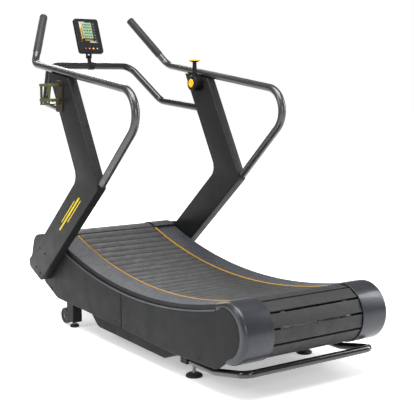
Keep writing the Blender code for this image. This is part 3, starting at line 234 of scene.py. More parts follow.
# ================================================================ materials
class Paint:
    """A Principled finish with procedural colour, roughness and bump on Object coordinates."""

    def __init__(self, name, roughness, metallic=0.0, **sockets):
        self.made = bpy.data.materials.new(name)
        self.made.use_nodes = True
        self.tree = self.made.node_tree
        self.shader = self.tree.nodes["Principled BSDF"]
        self.shader.inputs["Roughness"].default_value = roughness
        self.shader.inputs["Metallic"].default_value = metallic
        self.shader.inputs["Specular IOR Level"].default_value = 0.32
        for socket, value in sockets.items():
            self.shader.inputs[socket.replace("_", " ")].default_value = value
        self.coords = self.tree.nodes.new("ShaderNodeTexCoord")
        self.height = None

    def node(self, kind, **settings):
        made = self.tree.nodes.new(kind)
        for key, value in settings.items():
            setattr(made, key, value)
        return made

    def link(self, source, target):
        self.tree.links.new(source, target)

    def stretched(self, scale):
        mapping = self.node("ShaderNodeMapping")
        mapping.inputs["Scale"].default_value = scale
        self.link(self.coords.outputs["Object"], mapping.inputs["Vector"])
        return mapping.outputs["Vector"]

    def noise(self, scale, detail=3.0, rough=0.55, stretch=(1, 1, 1)):
        made = self.node("ShaderNodeTexNoise")
        made.inputs["Scale"].default_value = scale
        made.inputs["Detail"].default_value = detail
        made.inputs["Roughness"].default_value = rough
        self.link(self.stretched(stretch), made.inputs["Vector"])
        return made.outputs["Fac"]

    def ramp(self, fac, low, high, start=0.35, end=0.65):
        made = self.node("ShaderNodeValToRGB")
        made.color_ramp.elements[0].position = start
        made.color_ramp.elements[1].position = end
        made.color_ramp.elements[0].color = (*low, 1) if len(low) == 3 else low
        made.color_ramp.elements[1].color = (*high, 1) if len(high) == 3 else high
        self.link(fac, made.inputs["Fac"])
        return made.outputs["Color"]

    def mix(self, fac, first, second):
        made = self.node("ShaderNodeMix", data_type="RGBA")
        for socket, value in ((made.inputs[0], fac), (made.inputs[6], first), (made.inputs[7], second)):
            if isinstance(value, (int, float)):
                socket.default_value = value
            elif isinstance(value, tuple):
                socket.default_value = (*value, 1)
            else:
                self.link(value, socket)
        return made.outputs[2]

    def math(self, operation, first, second=0.0):
        made = self.node("ShaderNodeMath", operation=operation)
        for socket, value in zip(made.inputs, (first, second)):
            if isinstance(value, (int, float)):
                socket.default_value = value
            else:
                self.link(value, socket)
        return made.outputs[0]

    def colour(self, output):
        self.link(output, self.shader.inputs["Base Color"])

    def rough(self, fac, low, high, start=0.3, end=0.7):
        made = self.node("ShaderNodeMapRange")
        for index, value in ((1, start), (2, end), (3, low), (4, high)):
            made.inputs[index].default_value = value
        self.link(fac, made.inputs[0])
        self.link(made.outputs[0], self.shader.inputs["Roughness"])

    def bump(self, height, strength, distance):
        made = self.node("ShaderNodeBump")
        made.inputs["Strength"].default_value = strength
        made.inputs["Distance"].default_value = distance
        self.link(height, made.inputs["Height"])
        if self.height:
            self.link(self.height, made.inputs["Normal"])
        self.height = made.outputs["Normal"]
        self.link(self.height, self.shader.inputs["Normal"])

    def worn_edges(self, base, bright, amount=0.5, radius_fac=(0.52, 0.60)):
        """Lightens convex edges, from the geometry's pointiness broken up by noise."""
        point = self.node("ShaderNodeNewGeometry").outputs["Pointiness"]
        edge = self.ramp(point, (0, 0, 0), (1, 1, 1), *radius_fac)
        broken = self.ramp(self.noise(90, 4), (0, 0, 0), (1, 1, 1), 0.45, 0.75)
        both = self.math("MULTIPLY", self.math("MULTIPLY", edge, broken), amount)
        return self.mix(both, base, bright)


def powder_coat(name, colour, light, roughness=0.42, metallic=0.1, grain=0.25, specular=0.12):
    """Sprayed powder coat: fine orange peel, slow cloudiness and a little wear on the edges."""
    paint = Paint(name, roughness, metallic, Specular_IOR_Level=specular)
    cloud = paint.ramp(paint.noise(3.5, 4), colour, tuple(c * 1.16 for c in colour), 0.35, 0.7)
    speck = paint.mix(paint.ramp(paint.noise(650, 2), (0, 0, 0), (0.35,) * 3, 0.52, 0.72), cloud, light)
    paint.colour(paint.worn_edges(speck, light))
    paint.rough(paint.noise(14, 4), roughness - 0.05, roughness + 0.07)
    paint.bump(paint.noise(850, 2), grain, 0.0004)
    return paint.made


def gloss_paint(name, colour, light, roughness=0.2, metallic=0.3, coat=0.6):
    """Glossy lacquer with faint dust, handling smears and orange peel."""
    paint = Paint(name, roughness, metallic, Coat_Weight=coat, Coat_Roughness=0.08)
    base = paint.ramp(paint.noise(5, 5), colour, tuple(c * 1.15 for c in colour))
    paint.colour(paint.worn_edges(base, light, 0.35))
    paint.rough(paint.noise(22, 6), roughness - 0.03, roughness + 0.05)
    paint.bump(paint.noise(160, 2), 0.02, 0.0002)
    return paint.made


def moulded_plastic(name, colour, roughness=0.5, grain_scale=900, grain=0.35, light=None, specular=0.2):
    """Spark-eroded moulding texture with slight variation."""
    light = light or tuple(min(1.0, c * 1.8 + 0.01) for c in colour)
    paint = Paint(name, roughness, Specular_IOR_Level=specular)
    base = paint.ramp(paint.noise(7, 4), colour, tuple(c * 1.2 for c in colour))
    paint.colour(paint.worn_edges(base, light, 0.3))
    paint.rough(paint.noise(30, 4), roughness - 0.06, roughness + 0.08)
    paint.bump(paint.noise(grain_scale, 2), grain, 0.0003)
    return paint.made


def foam_rubber(name, colour, roughness=0.82):
    """Closed-cell grip foam: matt, finely pitted."""
    paint = Paint(name, roughness, Sheen_Weight=0.15)
    pits = paint.node("ShaderNodeTexVoronoi")
    pits.inputs["Scale"].default_value = 900
    paint.link(paint.coords.outputs["Object"], pits.inputs["Vector"])
    base = paint.ramp(paint.noise(30, 4), colour, tuple(c * 1.5 for c in colour))
    paint.colour(base)
    paint.rough(paint.noise(60, 4), roughness - 0.08, roughness + 0.08)
    paint.bump(pits.outputs["Distance"], 0.4, 0.0005)
    return paint.made


def brushed_steel(name, colour=(0.50, 0.50, 0.51), roughness=0.32):
    paint = Paint(name, roughness, 1.0)
    lines = paint.noise(120, 3, 0.6, (0.05, 1, 1))
    paint.colour(paint.ramp(lines, tuple(c * 0.75 for c in colour), colour, 0.3, 0.7))
    paint.rough(paint.noise(40, 4), roughness - 0.08, roughness + 0.12)
    paint.bump(lines, 0.12, 0.0002)
    return paint.made


def slat_finish(name):
    """Dark ribbed rubber slat: dusty tops, groove recesses painted near-black as painted shade, faint scuffs along
    the run.
    """
    paint = Paint(name, 0.58)
    tone = paint.ramp(paint.noise(9, 5), (0.022, 0.0225, 0.023), (0.028, 0.029, 0.029), 0.3, 0.7)
    scuff = paint.ramp(paint.noise(45, 5, 0.6, (1, 0.12, 0.3)), (0, 0, 0), (0.25,) * 3, 0.55, 0.85)
    dusty = paint.mix(scuff, tone, (0.060, 0.060, 0.061))
    paint.colour(paint.worn_edges(dusty, (0.11, 0.11, 0.11), 0.5))
    ribs = paint.node("ShaderNodeTexWave", wave_type="BANDS", bands_direction="X", wave_profile="SIN")
    ribs.inputs["Scale"].default_value = 2 * math.pi / (20 * 0.0062)
    paint.link(paint.coords.outputs["Object"], ribs.inputs["Vector"])
    # Groove mask: drives both the bump depth and the painted shade in the recesses.
    groove_depth_and_shade = paint.ramp(ribs.outputs["Fac"], (0, 0, 0), (1, 1, 1), 0.10, 0.45)
    worn = paint.shader.inputs["Base Color"].links[0].from_socket
    # Near-black in the groove recesses: painted shade between the ribs.
    paint.colour(paint.mix(groove_depth_and_shade, (0.006, 0.006, 0.006), worn))
    paint.rough(paint.noise(25, 5), 0.46, 0.66)
    paint.bump(groove_depth_and_shade, 0.6, 0.0009)
    paint.bump(paint.noise(900, 2), 0.3, 0.0004)
    return paint.made


FINISH = {
    "frame": powder_coat("frame_powder_coat", (0.007, 0.0073, 0.0076), (0.04, 0.04, 0.04), 0.45),
    "cover": powder_coat("cover_satin_charcoal", (0.0065, 0.0070, 0.0076), (0.045, 0.045, 0.05), 0.46, 0.0),
    "cap": gloss_paint("cap_graphite_satin", (0.030, 0.033, 0.038), (0.14, 0.14, 0.15), 0.36, 0.5, 0.15),
    "handrail": gloss_paint("handrail_metallic", (0.060, 0.059, 0.057), (0.25, 0.25, 0.25), 0.30, 0.7, 0.3),
    "black_tube": gloss_paint(
        "crossbar_black_gloss", (0.010, 0.011, 0.012), (0.06, 0.06, 0.06), 0.26, 0.2, 0.4,
    ),
    "handle": gloss_paint(
        "lift_handle_black_gloss", (0.008, 0.008, 0.009), (0.05, 0.05, 0.05), 0.22, 0.1, 0.6,
    ),
    # Cover top-edge bead colour: far lighter than the cover paint, a painted highlight on the rounded edge.
    "edge": powder_coat("cover_edge_painted_highlight", (0.040, 0.041, 0.043), (0.10, 0.10, 0.10), 0.34, 0.2, 0.1, 0.5),
    "slat": slat_finish("slat_ribbed_rubber"),
    "foot_rail": moulded_plastic(
        "foot_rail_moulding", (0.010, 0.0105, 0.013), 0.50, light=(0.05, 0.05, 0.06),
    ),
    "dot": moulded_plastic("foot_rail_dots", (0.115, 0.12, 0.14), 0.40, 1200, 0.2),
    "accent": powder_coat("accent_amber", (0.430, 0.235, 0.010), (0.60, 0.40, 0.08), 0.42, 0.0, 0.1),
    "yellow": moulded_plastic("yellow_moulding", (0.780, 0.460, 0.025), 0.38, 900, 0.12),
    "mark": powder_coat("mark_yellow", (0.560, 0.400, 0.006), (0.80, 0.62, 0.10), 0.42, 0.0, 0.1),
    "amber": moulded_plastic("amber_moulding", (0.820, 0.360, 0.008), 0.34, 900, 0.10),
    "black": moulded_plastic("black_moulding", (0.005, 0.005, 0.0055), 0.46, specular=0.15),
    "rubber": foam_rubber("black_rubber", (0.007, 0.007, 0.007), 0.70),
    "grip": foam_rubber("grip_foam", (0.007, 0.0065, 0.006), 0.52),
    "pan": moulded_plastic("belly_pan_moulding", (0.006, 0.006, 0.006), 0.52, 500, 0.4, specular=0.12),
    "steel": brushed_steel("machined_steel"),
    "zinc": brushed_steel("zinc_bolt", (0.42, 0.42, 0.43), 0.34),
    "cage": moulded_plastic("cage_olive_tint", (0.050, 0.048, 0.016), 0.28, 700, 0.15, (0.20, 0.20, 0.10)),
}


# ================================================================ outlines, in (Y, Z)
DECK_LOW = np.array([-0.36, 0.303])
MIDDLE = DECK_LOW + np.array([0.0, DECK_RADIUS])
RIM_X = 0.3855                 # outer face of the side covers
RIM_DEPTH = 0.0135
COVER_DROP = 0.022
SEAM_Y = -0.22
SEAM_GAP = 0.001
CAP_PROUD = 0.006
REAR_CAP_Y, FRONT_CAP_Y = -0.98, 0.49
POST_X, POST_THICKNESS = 0.3858, 0.050
POST_FACE = POST_X + POST_THICKNESS - 0.0015   # outer face, so that its bolts stay in the frame's width
KNEE = np.array([-0.100, 0.762])
RAIL_BACK, RAIL_FRONT = np.array([-0.564, 1.197]), np.array([0.615, 1.351])
GRIP_TIP = np.array([0.270, 0.797, 1.604])


def drum_centre(y):
    """A drum's centre, where the running surface meets it in a tangent."""
    reach = DECK_RADIUS + DRUM_OUTER
    return np.array([y, MIDDLE[1] - math.sqrt(reach**2 - (y - MIDDLE[0]) ** 2)])


REAR, FRONT = drum_centre(-1.055), drum_centre(0.555)


def deck_curve(y_from, y_to, offset, count):
    """Points on the running surface's arc raised by an offset: z = centre - sqrt(r^2 - dy^2)."""
    y = np.linspace(y_from, y_to, count)
    return np.stack([y, MIDDLE[1] - np.sqrt((DECK_RADIUS - offset) ** 2 - (y - MIDDLE[0]) ** 2)], axis=1)


def arc(centre, radius, start, end, count):
    """Circle points centre + r (cos t, sin t), t in degrees from +Y towards +Z."""
    t = np.radians(np.linspace(start, end, count))
    return np.asarray(centre) + radius * np.stack([np.cos(t), np.sin(t)], axis=1)


def fillets(corners, steps=10, before=None, after=None):
    """Points through (y, z, radius) corners; a closed chain unless its neighbours are given."""
    places = [np.array(corner[:2], float) for corner in corners]
    chain = [places[-1] if before is None else before, *places, places[0] if after is None else after]
    rows = []
    for index, (y, z, radius) in enumerate(corners, 1):
        if radius <= 0:
            rows.append([(y, z)])
        else:
            rows.append(arc_corner((y, z), chain[index - 1], chain[index + 1], radius, steps))
    return np.concatenate(rows)


def crossing(point, direction, other, other_direction):
    """Where two lines meet, from point + s direction = other + t other_direction."""
    matrix = np.array([direction, -np.asarray(other_direction)]).T
    return point + np.linalg.solve(matrix, np.asarray(other) - point)[0] * np.asarray(direction)


def without_repeats(outline, gap=0.00002):
    step = np.linalg.norm(outline - np.roll(outline, 1, axis=0), axis=1)
    return outline[step > gap]


def inset(outline, distance):
    """The outline moved inwards, each corner along its mitre: p + n d / sqrt((1 + cos turn) / 2)."""
    points = np.asarray(outline, float)
    into = unit(points - np.roll(points, 1, axis=0))
    out = unit(np.roll(points, -1, axis=0) - points)
    ahead = np.roll(points, -1, axis=0)
    area = np.sum(points[:, 0] * ahead[:, 1] - points[:, 1] * ahead[:, 0])
    normals = unit(np.stack([-(into + out)[:, 1], (into + out)[:, 0]], axis=1)) * math.copysign(1, area)
    lean = np.clip(np.abs(np.sum(into * out, axis=1)), 0.5, 1.0)
    return points + normals * (np.broadcast_to(distance, len(points)) / np.sqrt((1 + lean) / 2))[:, None]


def slab_surface(outline, rows, origin, u, v, w):
    """Outlines in the (u, v) plane stacked along w, each row moved in by its inset; ends filled."""
    outline = without_repeats(np.asarray(outline, float))
    count = len(outline)
    layers = []
    for depth, distance in rows:
        flat = inset(outline, distance)
        layers.append(np.asarray(origin) + flat[:, :1] * u + flat[:, 1:] * v + depth * np.asarray(w))
    faces = [tuple(f) for f in grid_faces(len(rows), count, close_cols=True)]
    faces += [tuple(range(count)), tuple(range((len(rows) - 1) * count, len(rows) * count))]
    return np.concatenate(layers), faces


def panel_surface(outline, rows, side=1):
    """A slab whose outline lies in (Y, Z) and whose rows are (x, inset), on the given side."""
    return slab_surface(outline, rows, SHIFT, np.eye(3)[1], np.eye(3)[2], np.eye(3)[0] * side)


def strip_surface(curve, section, side, inward=1):
    """A closed (x, inset) section carried along an open (Y, Z) curve: p + n inset; ends filled."""
    tangent = unit(np.gradient(curve, axis=0))
    normal = np.stack([tangent[:, 1], -tangent[:, 0]], axis=1) * inward
    section = np.asarray(section, float)
    flat = curve[:, None, :] + normal[:, None, :] * section[None, :, 1:]
    x = np.broadcast_to(side * section[None, :, :1], (len(curve), len(section), 1))
    verts = np.concatenate([x, flat], axis=2).reshape(-1, 3) + SHIFT
    count = len(section)
    faces = [tuple(f) for f in grid_faces(len(curve), count, close_cols=True)]
    faces += [tuple(range(count)), tuple(range((len(curve) - 1) * count, len(curve) * count))]
    return verts, faces


def rounded_rect(width, height, radius, steps=8):
    w, h = width / 2, height / 2
    return fillets([(-w, -h, radius), (w, -h, radius), (w, h, radius), (-w, h, radius)], steps)


def rolled(x_low, x_high, radius, steps=5, base=0.0):
    """Rows for panel_surface: a quarter-circle roll of this radius at each end of the thickness."""
    t = np.linspace(0, math.pi / 2, steps + 1)
    first = [(x_low + radius * (1 - math.sin(a)), base + radius * (1 - math.cos(a))) for a in t[::-1]]
    last = [(x_high - radius * (1 - math.sin(a)), base + radius * (1 - math.cos(a))) for a in t]
    return first + last


def front_cover_outline():
    seam = np.array([SEAM_Y + SEAM_GAP / 2, 0.1125])
    top = deck_curve(seam[0], FRONT[0] - 0.045, -COVER_DROP, 48)
    nose = arc(FRONT, DRUM_OUTER - COVER_DROP + 0.002, 100, 10, 36)
    chin = [
        (FRONT[0] + 0.112, 0.285, 0.05), (0.612, 0.188, 0.05), (0.462, 0.127, 0.04),
        (0.100, 0.120, 0.05),
    ]
    return np.concatenate([top, nose, fillets(chin, 12, nose[-1], seam), [seam]])


def rear_cover_outline():
    tail = arc(REAR + np.array([0.014, 0.0]), DRUM_OUTER - COVER_DROP + 0.008, 78, 252, 64)
    seam = np.array([SEAM_Y - SEAM_GAP / 2, 0.1125])
    belly = fillets([(-0.985, 0.108, 0.06), (-0.655, 0.097, 0.10)], 12, tail[-1], seam)
    top = deck_curve(REAR[0] + 0.060, seam[0], -COVER_DROP, 56)
    return np.concatenate([top, [seam], belly[::-1], tail[::-1]])


def rear_cap_outline():
    top = deck_curve(REAR_CAP_Y, REAR[0] + 0.04, CAP_PROUD, 8)
    end = (REAR_CAP_Y, REAR[1] - DRUM_OUTER - CAP_PROUD + 0.001)
    return np.concatenate([top, arc(REAR, DRUM_OUTER + CAP_PROUD, 82, 268, 80), [end]])


def front_cap_outline():
    end = (FRONT_CAP_Y, FRONT[1] - DRUM_OUTER - 0.004)
    start = deck_curve(FRONT_CAP_Y, FRONT_CAP_Y + 0.02, CAP_PROUD, 2)[:1]
    return np.concatenate([start, arc(FRONT, DRUM_OUTER + CAP_PROUD, 105, -84, 80), [end]])


LOWER_LEAN, UPPER_LEAN = math.radians(40.0), math.radians(60.6)
DOWN = np.array([math.cos(LOWER_LEAN), -math.sin(LOWER_LEAN)])
UP = np.array([math.cos(UPPER_LEAN), math.sin(UPPER_LEAN)])
FRONT_LOW = KNEE + np.array([-DOWN[1], DOWN[0]]) * 0.160
FRONT_UP = KNEE + np.array([UP[1], -UP[0]]) * 0.171


def post_outline(top_gap=RAIL_RADIUS + 0.0005):
    """Bent box seen from the side: base lobe, knee, and a top that follows the handrail."""
    slope = RAIL_FRONT - RAIL_BACK
    under = RAIL_BACK - np.array([0.0, top_gap * np.linalg.norm(slope) / slope[0]])
    rear_top, front_top = crossing(KNEE, UP, under, slope), crossing(FRONT_UP, UP, under, slope)
    foot = crossing(KNEE, DOWN, np.array([0.553, 0.212]), np.array([1.0, 0.35]))
    lobe = crossing(FRONT_LOW, DOWN, np.array([0.50, 0.472]), np.array([0.0, 1.0]))
    crook = crossing(FRONT_LOW, DOWN, FRONT_UP, UP)
    return fillets([
        (*foot, 0.012), (0.690, 0.268, 0.040), (0.697, 0.306, 0.010), (0.661, 0.334, 0.010),
        (0.622, 0.452, 0.075), (*lobe, 0.015), (*crook, 0.060), (*front_top, 0.0),
        (*rear_top, 0.0), (*KNEE, 0.020),
    ])


# ================================================================ belt
def belt_arcs():
    """The belt's pitch line as (centre, signed radius, first turn, last turn), turns from +Z to +Y."""
    middle, span = (REAR + FRONT) / 2, FRONT - REAR
    half = np.linalg.norm(span) / 2
    rise = (half**2 - LOWER_SAG**2) / (2 * LOWER_SAG)
    low_centre = middle + unit([-span[1], span[0]]) * rise
    ahead, behind = FRONT - low_centre, REAR - low_centre
    first, last = math.atan2(*ahead), math.atan2(*behind) + 2 * math.pi
    reach = DECK_RADIUS + DRUM_OUTER
    rear_turn = math.asin((MIDDLE[0] - REAR[0]) / reach)
    front_turn = math.asin((FRONT[0] - MIDDLE[0]) / reach)
    pitch = DRUM_OUTER - SLAT_HEIGHT
    return [
        (MIDDLE, -(DECK_RADIUS + SLAT_HEIGHT), rear_turn, -front_turn),
        (FRONT, pitch, -front_turn, first),
        (low_centre, np.linalg.norm(ahead) + pitch, first, last),
        (REAR, pitch, last, rear_turn + 2 * math.pi),
    ]


ARCS = belt_arcs()
LOOP = sum(radius * (end - start) for _, radius, start, end in ARCS)
SLATS = round(LOOP / SLAT_NOMINAL_PITCH)
PITCH = LOOP / SLATS


def belt_frames(along):
    """Places, directions of travel and outward normals on the pitch line at these lengths."""
    place, travel, normal = [], [], []
    for s in np.atleast_1d(along) % LOOP:
        for centre, radius, start, end in ARCS:
            if s <= radius * (end - start):
                break
            s -= radius * (end - start)
        turn = start + s / radius
        normal.append((math.sin(turn), math.cos(turn)))
        travel.append((math.cos(turn), -math.sin(turn)))
        place.append(centre + radius * np.array(normal[-1]))
    return np.array(place), np.array(travel), np.array(normal)


def slat_belt():
    """Separate slats on the pitch line: each a section in (travel, normal) carried across X.

    The section has rolled top corners and a foot narrower than its top; its ends roll over too.
    """
    half, top, low, roll = (PITCH - SLAT_GAP) / 2, SLAT_HEIGHT - 0.0002, 0.0004, 0.0032
    turn = np.linspace(0, math.pi / 2, 5)
    right = [(half - roll + roll * math.sin(a), top - roll + roll * math.cos(a)) for a in turn]
    section = [(-t, n) for t, n in right[::-1]] + right + [(half - 0.004, low), (-half + 0.004, low)]
    section = np.array(section)
    end = BELT_HALF - 0.0005
    rows = [(-end, 0.90), (-end + 0.0008, 0.97), (-end + 0.003, 1.0)]
    rows += [(-x, scale) for x, scale in rows[::-1]]
    centre = np.array([0.0, top * 0.55])
    places, travels, normals = belt_frames((np.arange(SLATS) + 0.5) * PITCH)
    surfaces = []
    for place, travel, normal in zip(places, travels, normals):
        layers = []
        for x, scale in rows:
            part = centre + (section - centre) * scale
            flat = place + part[:, :1] * travel + part[:, 1:] * normal
            layers.append(np.column_stack([np.full(len(part), x), flat]) + SHIFT)
        count = len(section)
        faces = [tuple(f) for f in grid_faces(len(rows), count, close_cols=True)]
        faces += [tuple(range(count)), tuple(range((len(rows) - 1) * count, len(rows) * count))]
        surfaces.append((np.concatenate(layers), faces))
    belt = joined("belt_slats", surfaces, angle=40)
    return place_piece(belt, ROOT, ["slat_belt"], FINISH["slat"], "belt")


def drive_belts():
    """Two toothed bands under the slats: the pitch line thickened inwards, over the pulleys."""
    along = np.linspace(0, LOOP, 521)[:-1]
    places, _, normals = belt_frames(along)
    teeth = 0.0006 * (np.arange(len(along)) % 2)
    surfaces = []
    for _, side in SIDES:
        low, high = sorted((side * 0.193, side * 0.224))
        outer, inner = places, places - normals * (BAND_THICKNESS - 0.0005 - teeth)[:, None]
        ring = []
        for x, flat in ((low, outer), (high, outer), (high, inner), (low, inner)):
            ring.append(np.column_stack([np.full(len(flat), x), flat]) + SHIFT)
        verts = np.stack(ring, axis=1).reshape(-1, 3)
        surfaces.append((verts, grid_faces(len(along), 4, close_rows=True, close_cols=True)))
    bands = joined("drive_belts", surfaces, angle=30)
    return place_piece(bands, ROOT, (), FINISH["black"], "belt")


def box_surface(centre, axes, half, roll=0.0):
    """A box with rolled edges as eight rounded corner rings: section rectangle shrunk towards its ends."""
    axes, half = np.asarray(axes, float), np.asarray(half, float)
    roll = min(roll, half.min() * 0.95)
    t = np.linspace(0, math.pi / 2, 4) if roll else np.array([0.0])
    ring = []
    for quarter, (sx, sy) in enumerate(((1, 1), (-1, 1), (-1, -1), (1, -1))):
        for a in t:
            b = a + quarter * math.pi / 2
            ring.append((sx, sy, math.cos(b) * roll, math.sin(b) * roll))
    ring = np.array(ring)
    rows = [(-half[2] + roll * (1 - math.cos(a)), roll * (1 - math.sin(a))) for a in t]
    rows += [(-z, shrink) for z, shrink in rows[::-1]]
    layers = []
    for z, shrink in rows:
        scale = 1 - shrink / roll if roll else 1.0
        flat = ring[:, :2] * (half[:2] - roll) + ring[:, 2:] * scale
        layers.append(centre + flat @ axes[:2] + z * axes[2])
    count = len(ring)
    faces = [tuple(f) for f in grid_faces(len(rows), count, close_cols=True)]
    faces += [tuple(range(count)), tuple(range((len(rows) - 1) * count, len(rows) * count))]
    return np.concatenate(layers), faces


def slat_fixings():
    """Bolt lugs between neighbouring slats, over the drive belts and at mid width."""
    places, travels, normals = belt_frames(np.arange(SLATS) * PITCH)
    surfaces = []
    for place, travel, normal in zip(places, travels, normals):
        for x in (-0.165, 0.165):
            centre = np.array([x, *(place + normal * 0.0022)]) + SHIFT
            axes = np.array([[1, 0, 0], [0, *travel], [0, *normal]])
            surfaces.append(box_surface(centre, axes, (0.011, 0.0052, 0.0014), 0.0006))
    lugs = joined("slat_lugs", surfaces, angle=30)
    return place_piece(lugs, ROOT, (), FINISH["zinc"], "steel")


# ================================================================ chassis shells
def side_covers():
    """Pressed covers: each outline as a cup with a rolled rim, and a round bead along its top edge, coloured far
    lighter than the cover as a painted highlight.
    """
    for word, side in SIDES:
        for part, outline in (("front", front_cover_outline()), ("rear", rear_cover_outline())):
            skin, low = 0.0035, RIM_X - RIM_DEPTH
            rows = [(RIM_X - skin, skin), (low, skin), (low, 0.0)]
            rows += rolled(low, RIM_X, 0.0080, 8)[9:]
            name = f"side_cover_{part}_{word}"
            cover = mesh_piece(name + "_shell", *panel_surface(outline, rows, side), angle=32)
            place_piece(cover, ROOT, [name], FINISH["cover"], "cover")
        flat = deck_curve(REAR[0] + 0.075, FRONT[0] - 0.060, -COVER_DROP - 0.0034, 90)
        path = np.column_stack([np.full(len(flat), side * (RIM_X - 0.0040)), flat]) + SHIFT
        # The bead is far lighter than the cover: a painted highlight on the cover's rounded top edge.
        bead = tube_piece(f"cover_edge_{word}_bead", path, 0.0038, 16)
        place_piece(bead, ROOT, (), FINISH["edge"], "cover")


def end_caps():
    """Shells round the drums, glossy at the rear and matt moulding at the front: an L section with a wide rolled
    corner carried round each end.
    """
    inner, outer, wall, roll = 0.2385, 0.3840, 0.004, 0.020
    t = np.linspace(0, math.pi / 2, 9)
    skin = [(inner, wall), (inner, 0.0012), (inner + 0.0012, 0.0)]
    skin += [(outer - roll * (1 - math.sin(a)), roll * (1 - math.cos(a))) for a in t]
    skin += [(outer, 0.040), (outer - wall, 0.040), (outer - wall, roll), (outer - roll, wall)]
    for word, side in SIDES:
        for part, outline in (("rear", rear_cap_outline()), ("front", front_cap_outline())):
            turn = -1 if part == "rear" else 1
            name = f"{part}_end_cap_{word}"
            curve = without_repeats(outline)
            cap = mesh_piece(name + "_shell", *strip_surface(curve, skin, side, turn), angle=40)
            place_piece(cap, ROOT, [name], FINISH["foot_rail" if part == "front" else "cap"], "cap")


RAIL_NEAR, RAIL_FAR = 0.2468, 0.3715


def foot_rails():
    """Standing rails: a rolled plank section with a skirt down its outer edge, along the deck's arc."""
    t = np.linspace(0, math.pi / 2, 6)
    section = [(RAIL_NEAR, 0.006), (RAIL_NEAR, 0.0015), (RAIL_NEAR + 0.0015, 0.0)]
    section += [(RAIL_FAR - 0.006 + 0.006 * math.sin(a), 0.006 - 0.006 * math.cos(a)) for a in t]
    section += [(RAIL_FAR, 0.034), (RAIL_FAR - 0.005, 0.034), (RAIL_FAR - 0.005, 0.006)]
    curve = deck_curve(REAR_CAP_Y + 0.001, FRONT_CAP_Y - 0.001, 0.0, 90)
    for word, side in SIDES:
        rail = mesh_piece(f"foot_rail_{word}_plank", *strip_surface(curve, section, side), angle=35)
        place_piece(rail, ROOT, [f"foot_rail_{word}"], FINISH["foot_rail"], "foot_rail")
        dots = list(rail_dots(side)) + list(
            rail_dots(side, FRONT_CAP_Y + 0.006, FRONT[0] - 0.010, CAP_PROUD),
        )
        dots = joined(f"foot_rail_{word}_dots", dots, angle=80)
        place_piece(dots, ROOT, (), FINISH["dot"], "foot_rail")


def rail_dots(side, low=REAR_CAP_Y + 0.015, high=FRONT_CAP_Y - 0.012, lift=0.0):
    """Anti-slip pads: low ovals in staggered rows, each (a cos t, b sin t) with a smaller raised top."""
    pitch, columns, height = 0.0125, 8, 0.0009
    half_across, half_along = 0.0042, 0.0019
    u = np.linspace(0, 2 * math.pi, 10, endpoint=False)
    for row in range(int((high - low) / pitch)):
        for column in range(columns):
            y = low + row * pitch + (pitch / 2 if column % 2 else 0)
            x = RAIL_NEAR + 0.012 + column * (RAIL_FAR - RAIL_NEAR - 0.024) / (columns - 1)
            foot = deck_curve(y, y, lift, 1)[0]
            up = unit(MIDDLE - foot)
            ahead = np.array([up[1], -up[0]])
            verts = []
            for scale, rise in ((1.0, -0.0004), (1.0, 0.0), (0.70, height)):
                flat = foot + up * rise + half_along * scale * np.sin(u)[:, None] * ahead
                verts.append(np.column_stack([side * x + half_across * scale * np.cos(u), flat]))
            faces = [tuple(f) for f in grid_faces(3, 10, close_cols=True)]
            faces += [tuple(range(10)), tuple(range(20, 30))]
            yield np.concatenate(verts) + SHIFT, faces


def accent_strips():
    """Amber trims between belt and rail: a bar with a rounded crown along the deck's arc."""
    low, high, crown = 0.2400, 0.2450, 0.0020
    t = np.linspace(0, math.pi / 2, 5)
    section = [(low, 0.010)]
    section += [(low + crown * (1 - math.cos(a)), -0.0012 + crown * (1 - math.sin(a))) for a in t]
    section += [(high - crown * (1 - math.sin(a)), -0.0012 + crown * (1 - math.cos(a))) for a in t]
    section += [(high, 0.010)]
    curve = deck_curve(REAR_CAP_Y + 0.030, FRONT_CAP_Y - 0.001, 0.0, 90)
    for word, side in SIDES:
        name = f"accent_strip_{word}"
        strip = mesh_piece(name + "_trim", *strip_surface(curve, section, side), angle=35)
        place_piece(strip, ROOT, [name], FINISH["accent"], "accent")


def screw_head(place, axis, radius, height, socket=0.45):
    """Button-head screw: a domed profile with a hexagon-like recess turned in its middle."""
    t = np.linspace(0, math.pi / 2, 5)
    dome = [(radius * (0.72 + 0.28 * math.cos(a)), height * (0.35 + 0.65 * math.sin(a))) for a in t]
    profile = [
        (radius, -0.0006), (radius, 0.0), *dome, (radius * socket, height),
        (radius * socket, height * 0.35),
    ]
    profile = [(0.0, -0.0006), *profile, (0.0, height * 0.35)]
    return lathe_surface(profile, place, axis, 20)


def screws():
    """Screws low on the side covers, and the bolts that hold the uprights to the chassis."""
    spots = [(0.522, 0.171), (-0.160, 0.135), (-0.262, 0.134), (-0.868, 0.128)]
    bolts = [(0.557, 0.387), (0.497, 0.364), (0.607, 0.276), (0.558, 0.252)]
    for word, side in SIDES:
        surfaces = [
            screw_head(at(side * RIM_X, *spot), (side, 0, 0), 0.0062, 0.0014, 0.5) for spot in spots
        ]
        place_piece(joined(f"cover_screws_{word}", surfaces), ROOT, (), FINISH["black"], "cover")
        surfaces = [
            screw_head(at(side * POST_FACE, *spot), (side, 0, 0), 0.0070, 0.00135)
            for spot in bolts
        ]
        surfaces.append(screw_head(at(side * POST_FACE, 0.331, 0.477), (side, 0, 0), 0.0035, 0.0010))
        place_piece(joined(f"upright_bolts_{word}", surfaces), ROOT, (), FINISH["frame"], "frame")


# ================================================================ uprights, rails and crossbar
def uprights():
    """Folded boxes: the bent outline as a slab with rolled edges."""
    for word, side in SIDES:
        rows = rolled(POST_X, POST_FACE, 0.0035, 5)
        post = mesh_piece(f"upright_{word}_box", *panel_surface(post_outline(), rows, side), angle=32)
        place_piece(post, ROOT, [f"upright_{word}"], FINISH["post"], "frame")


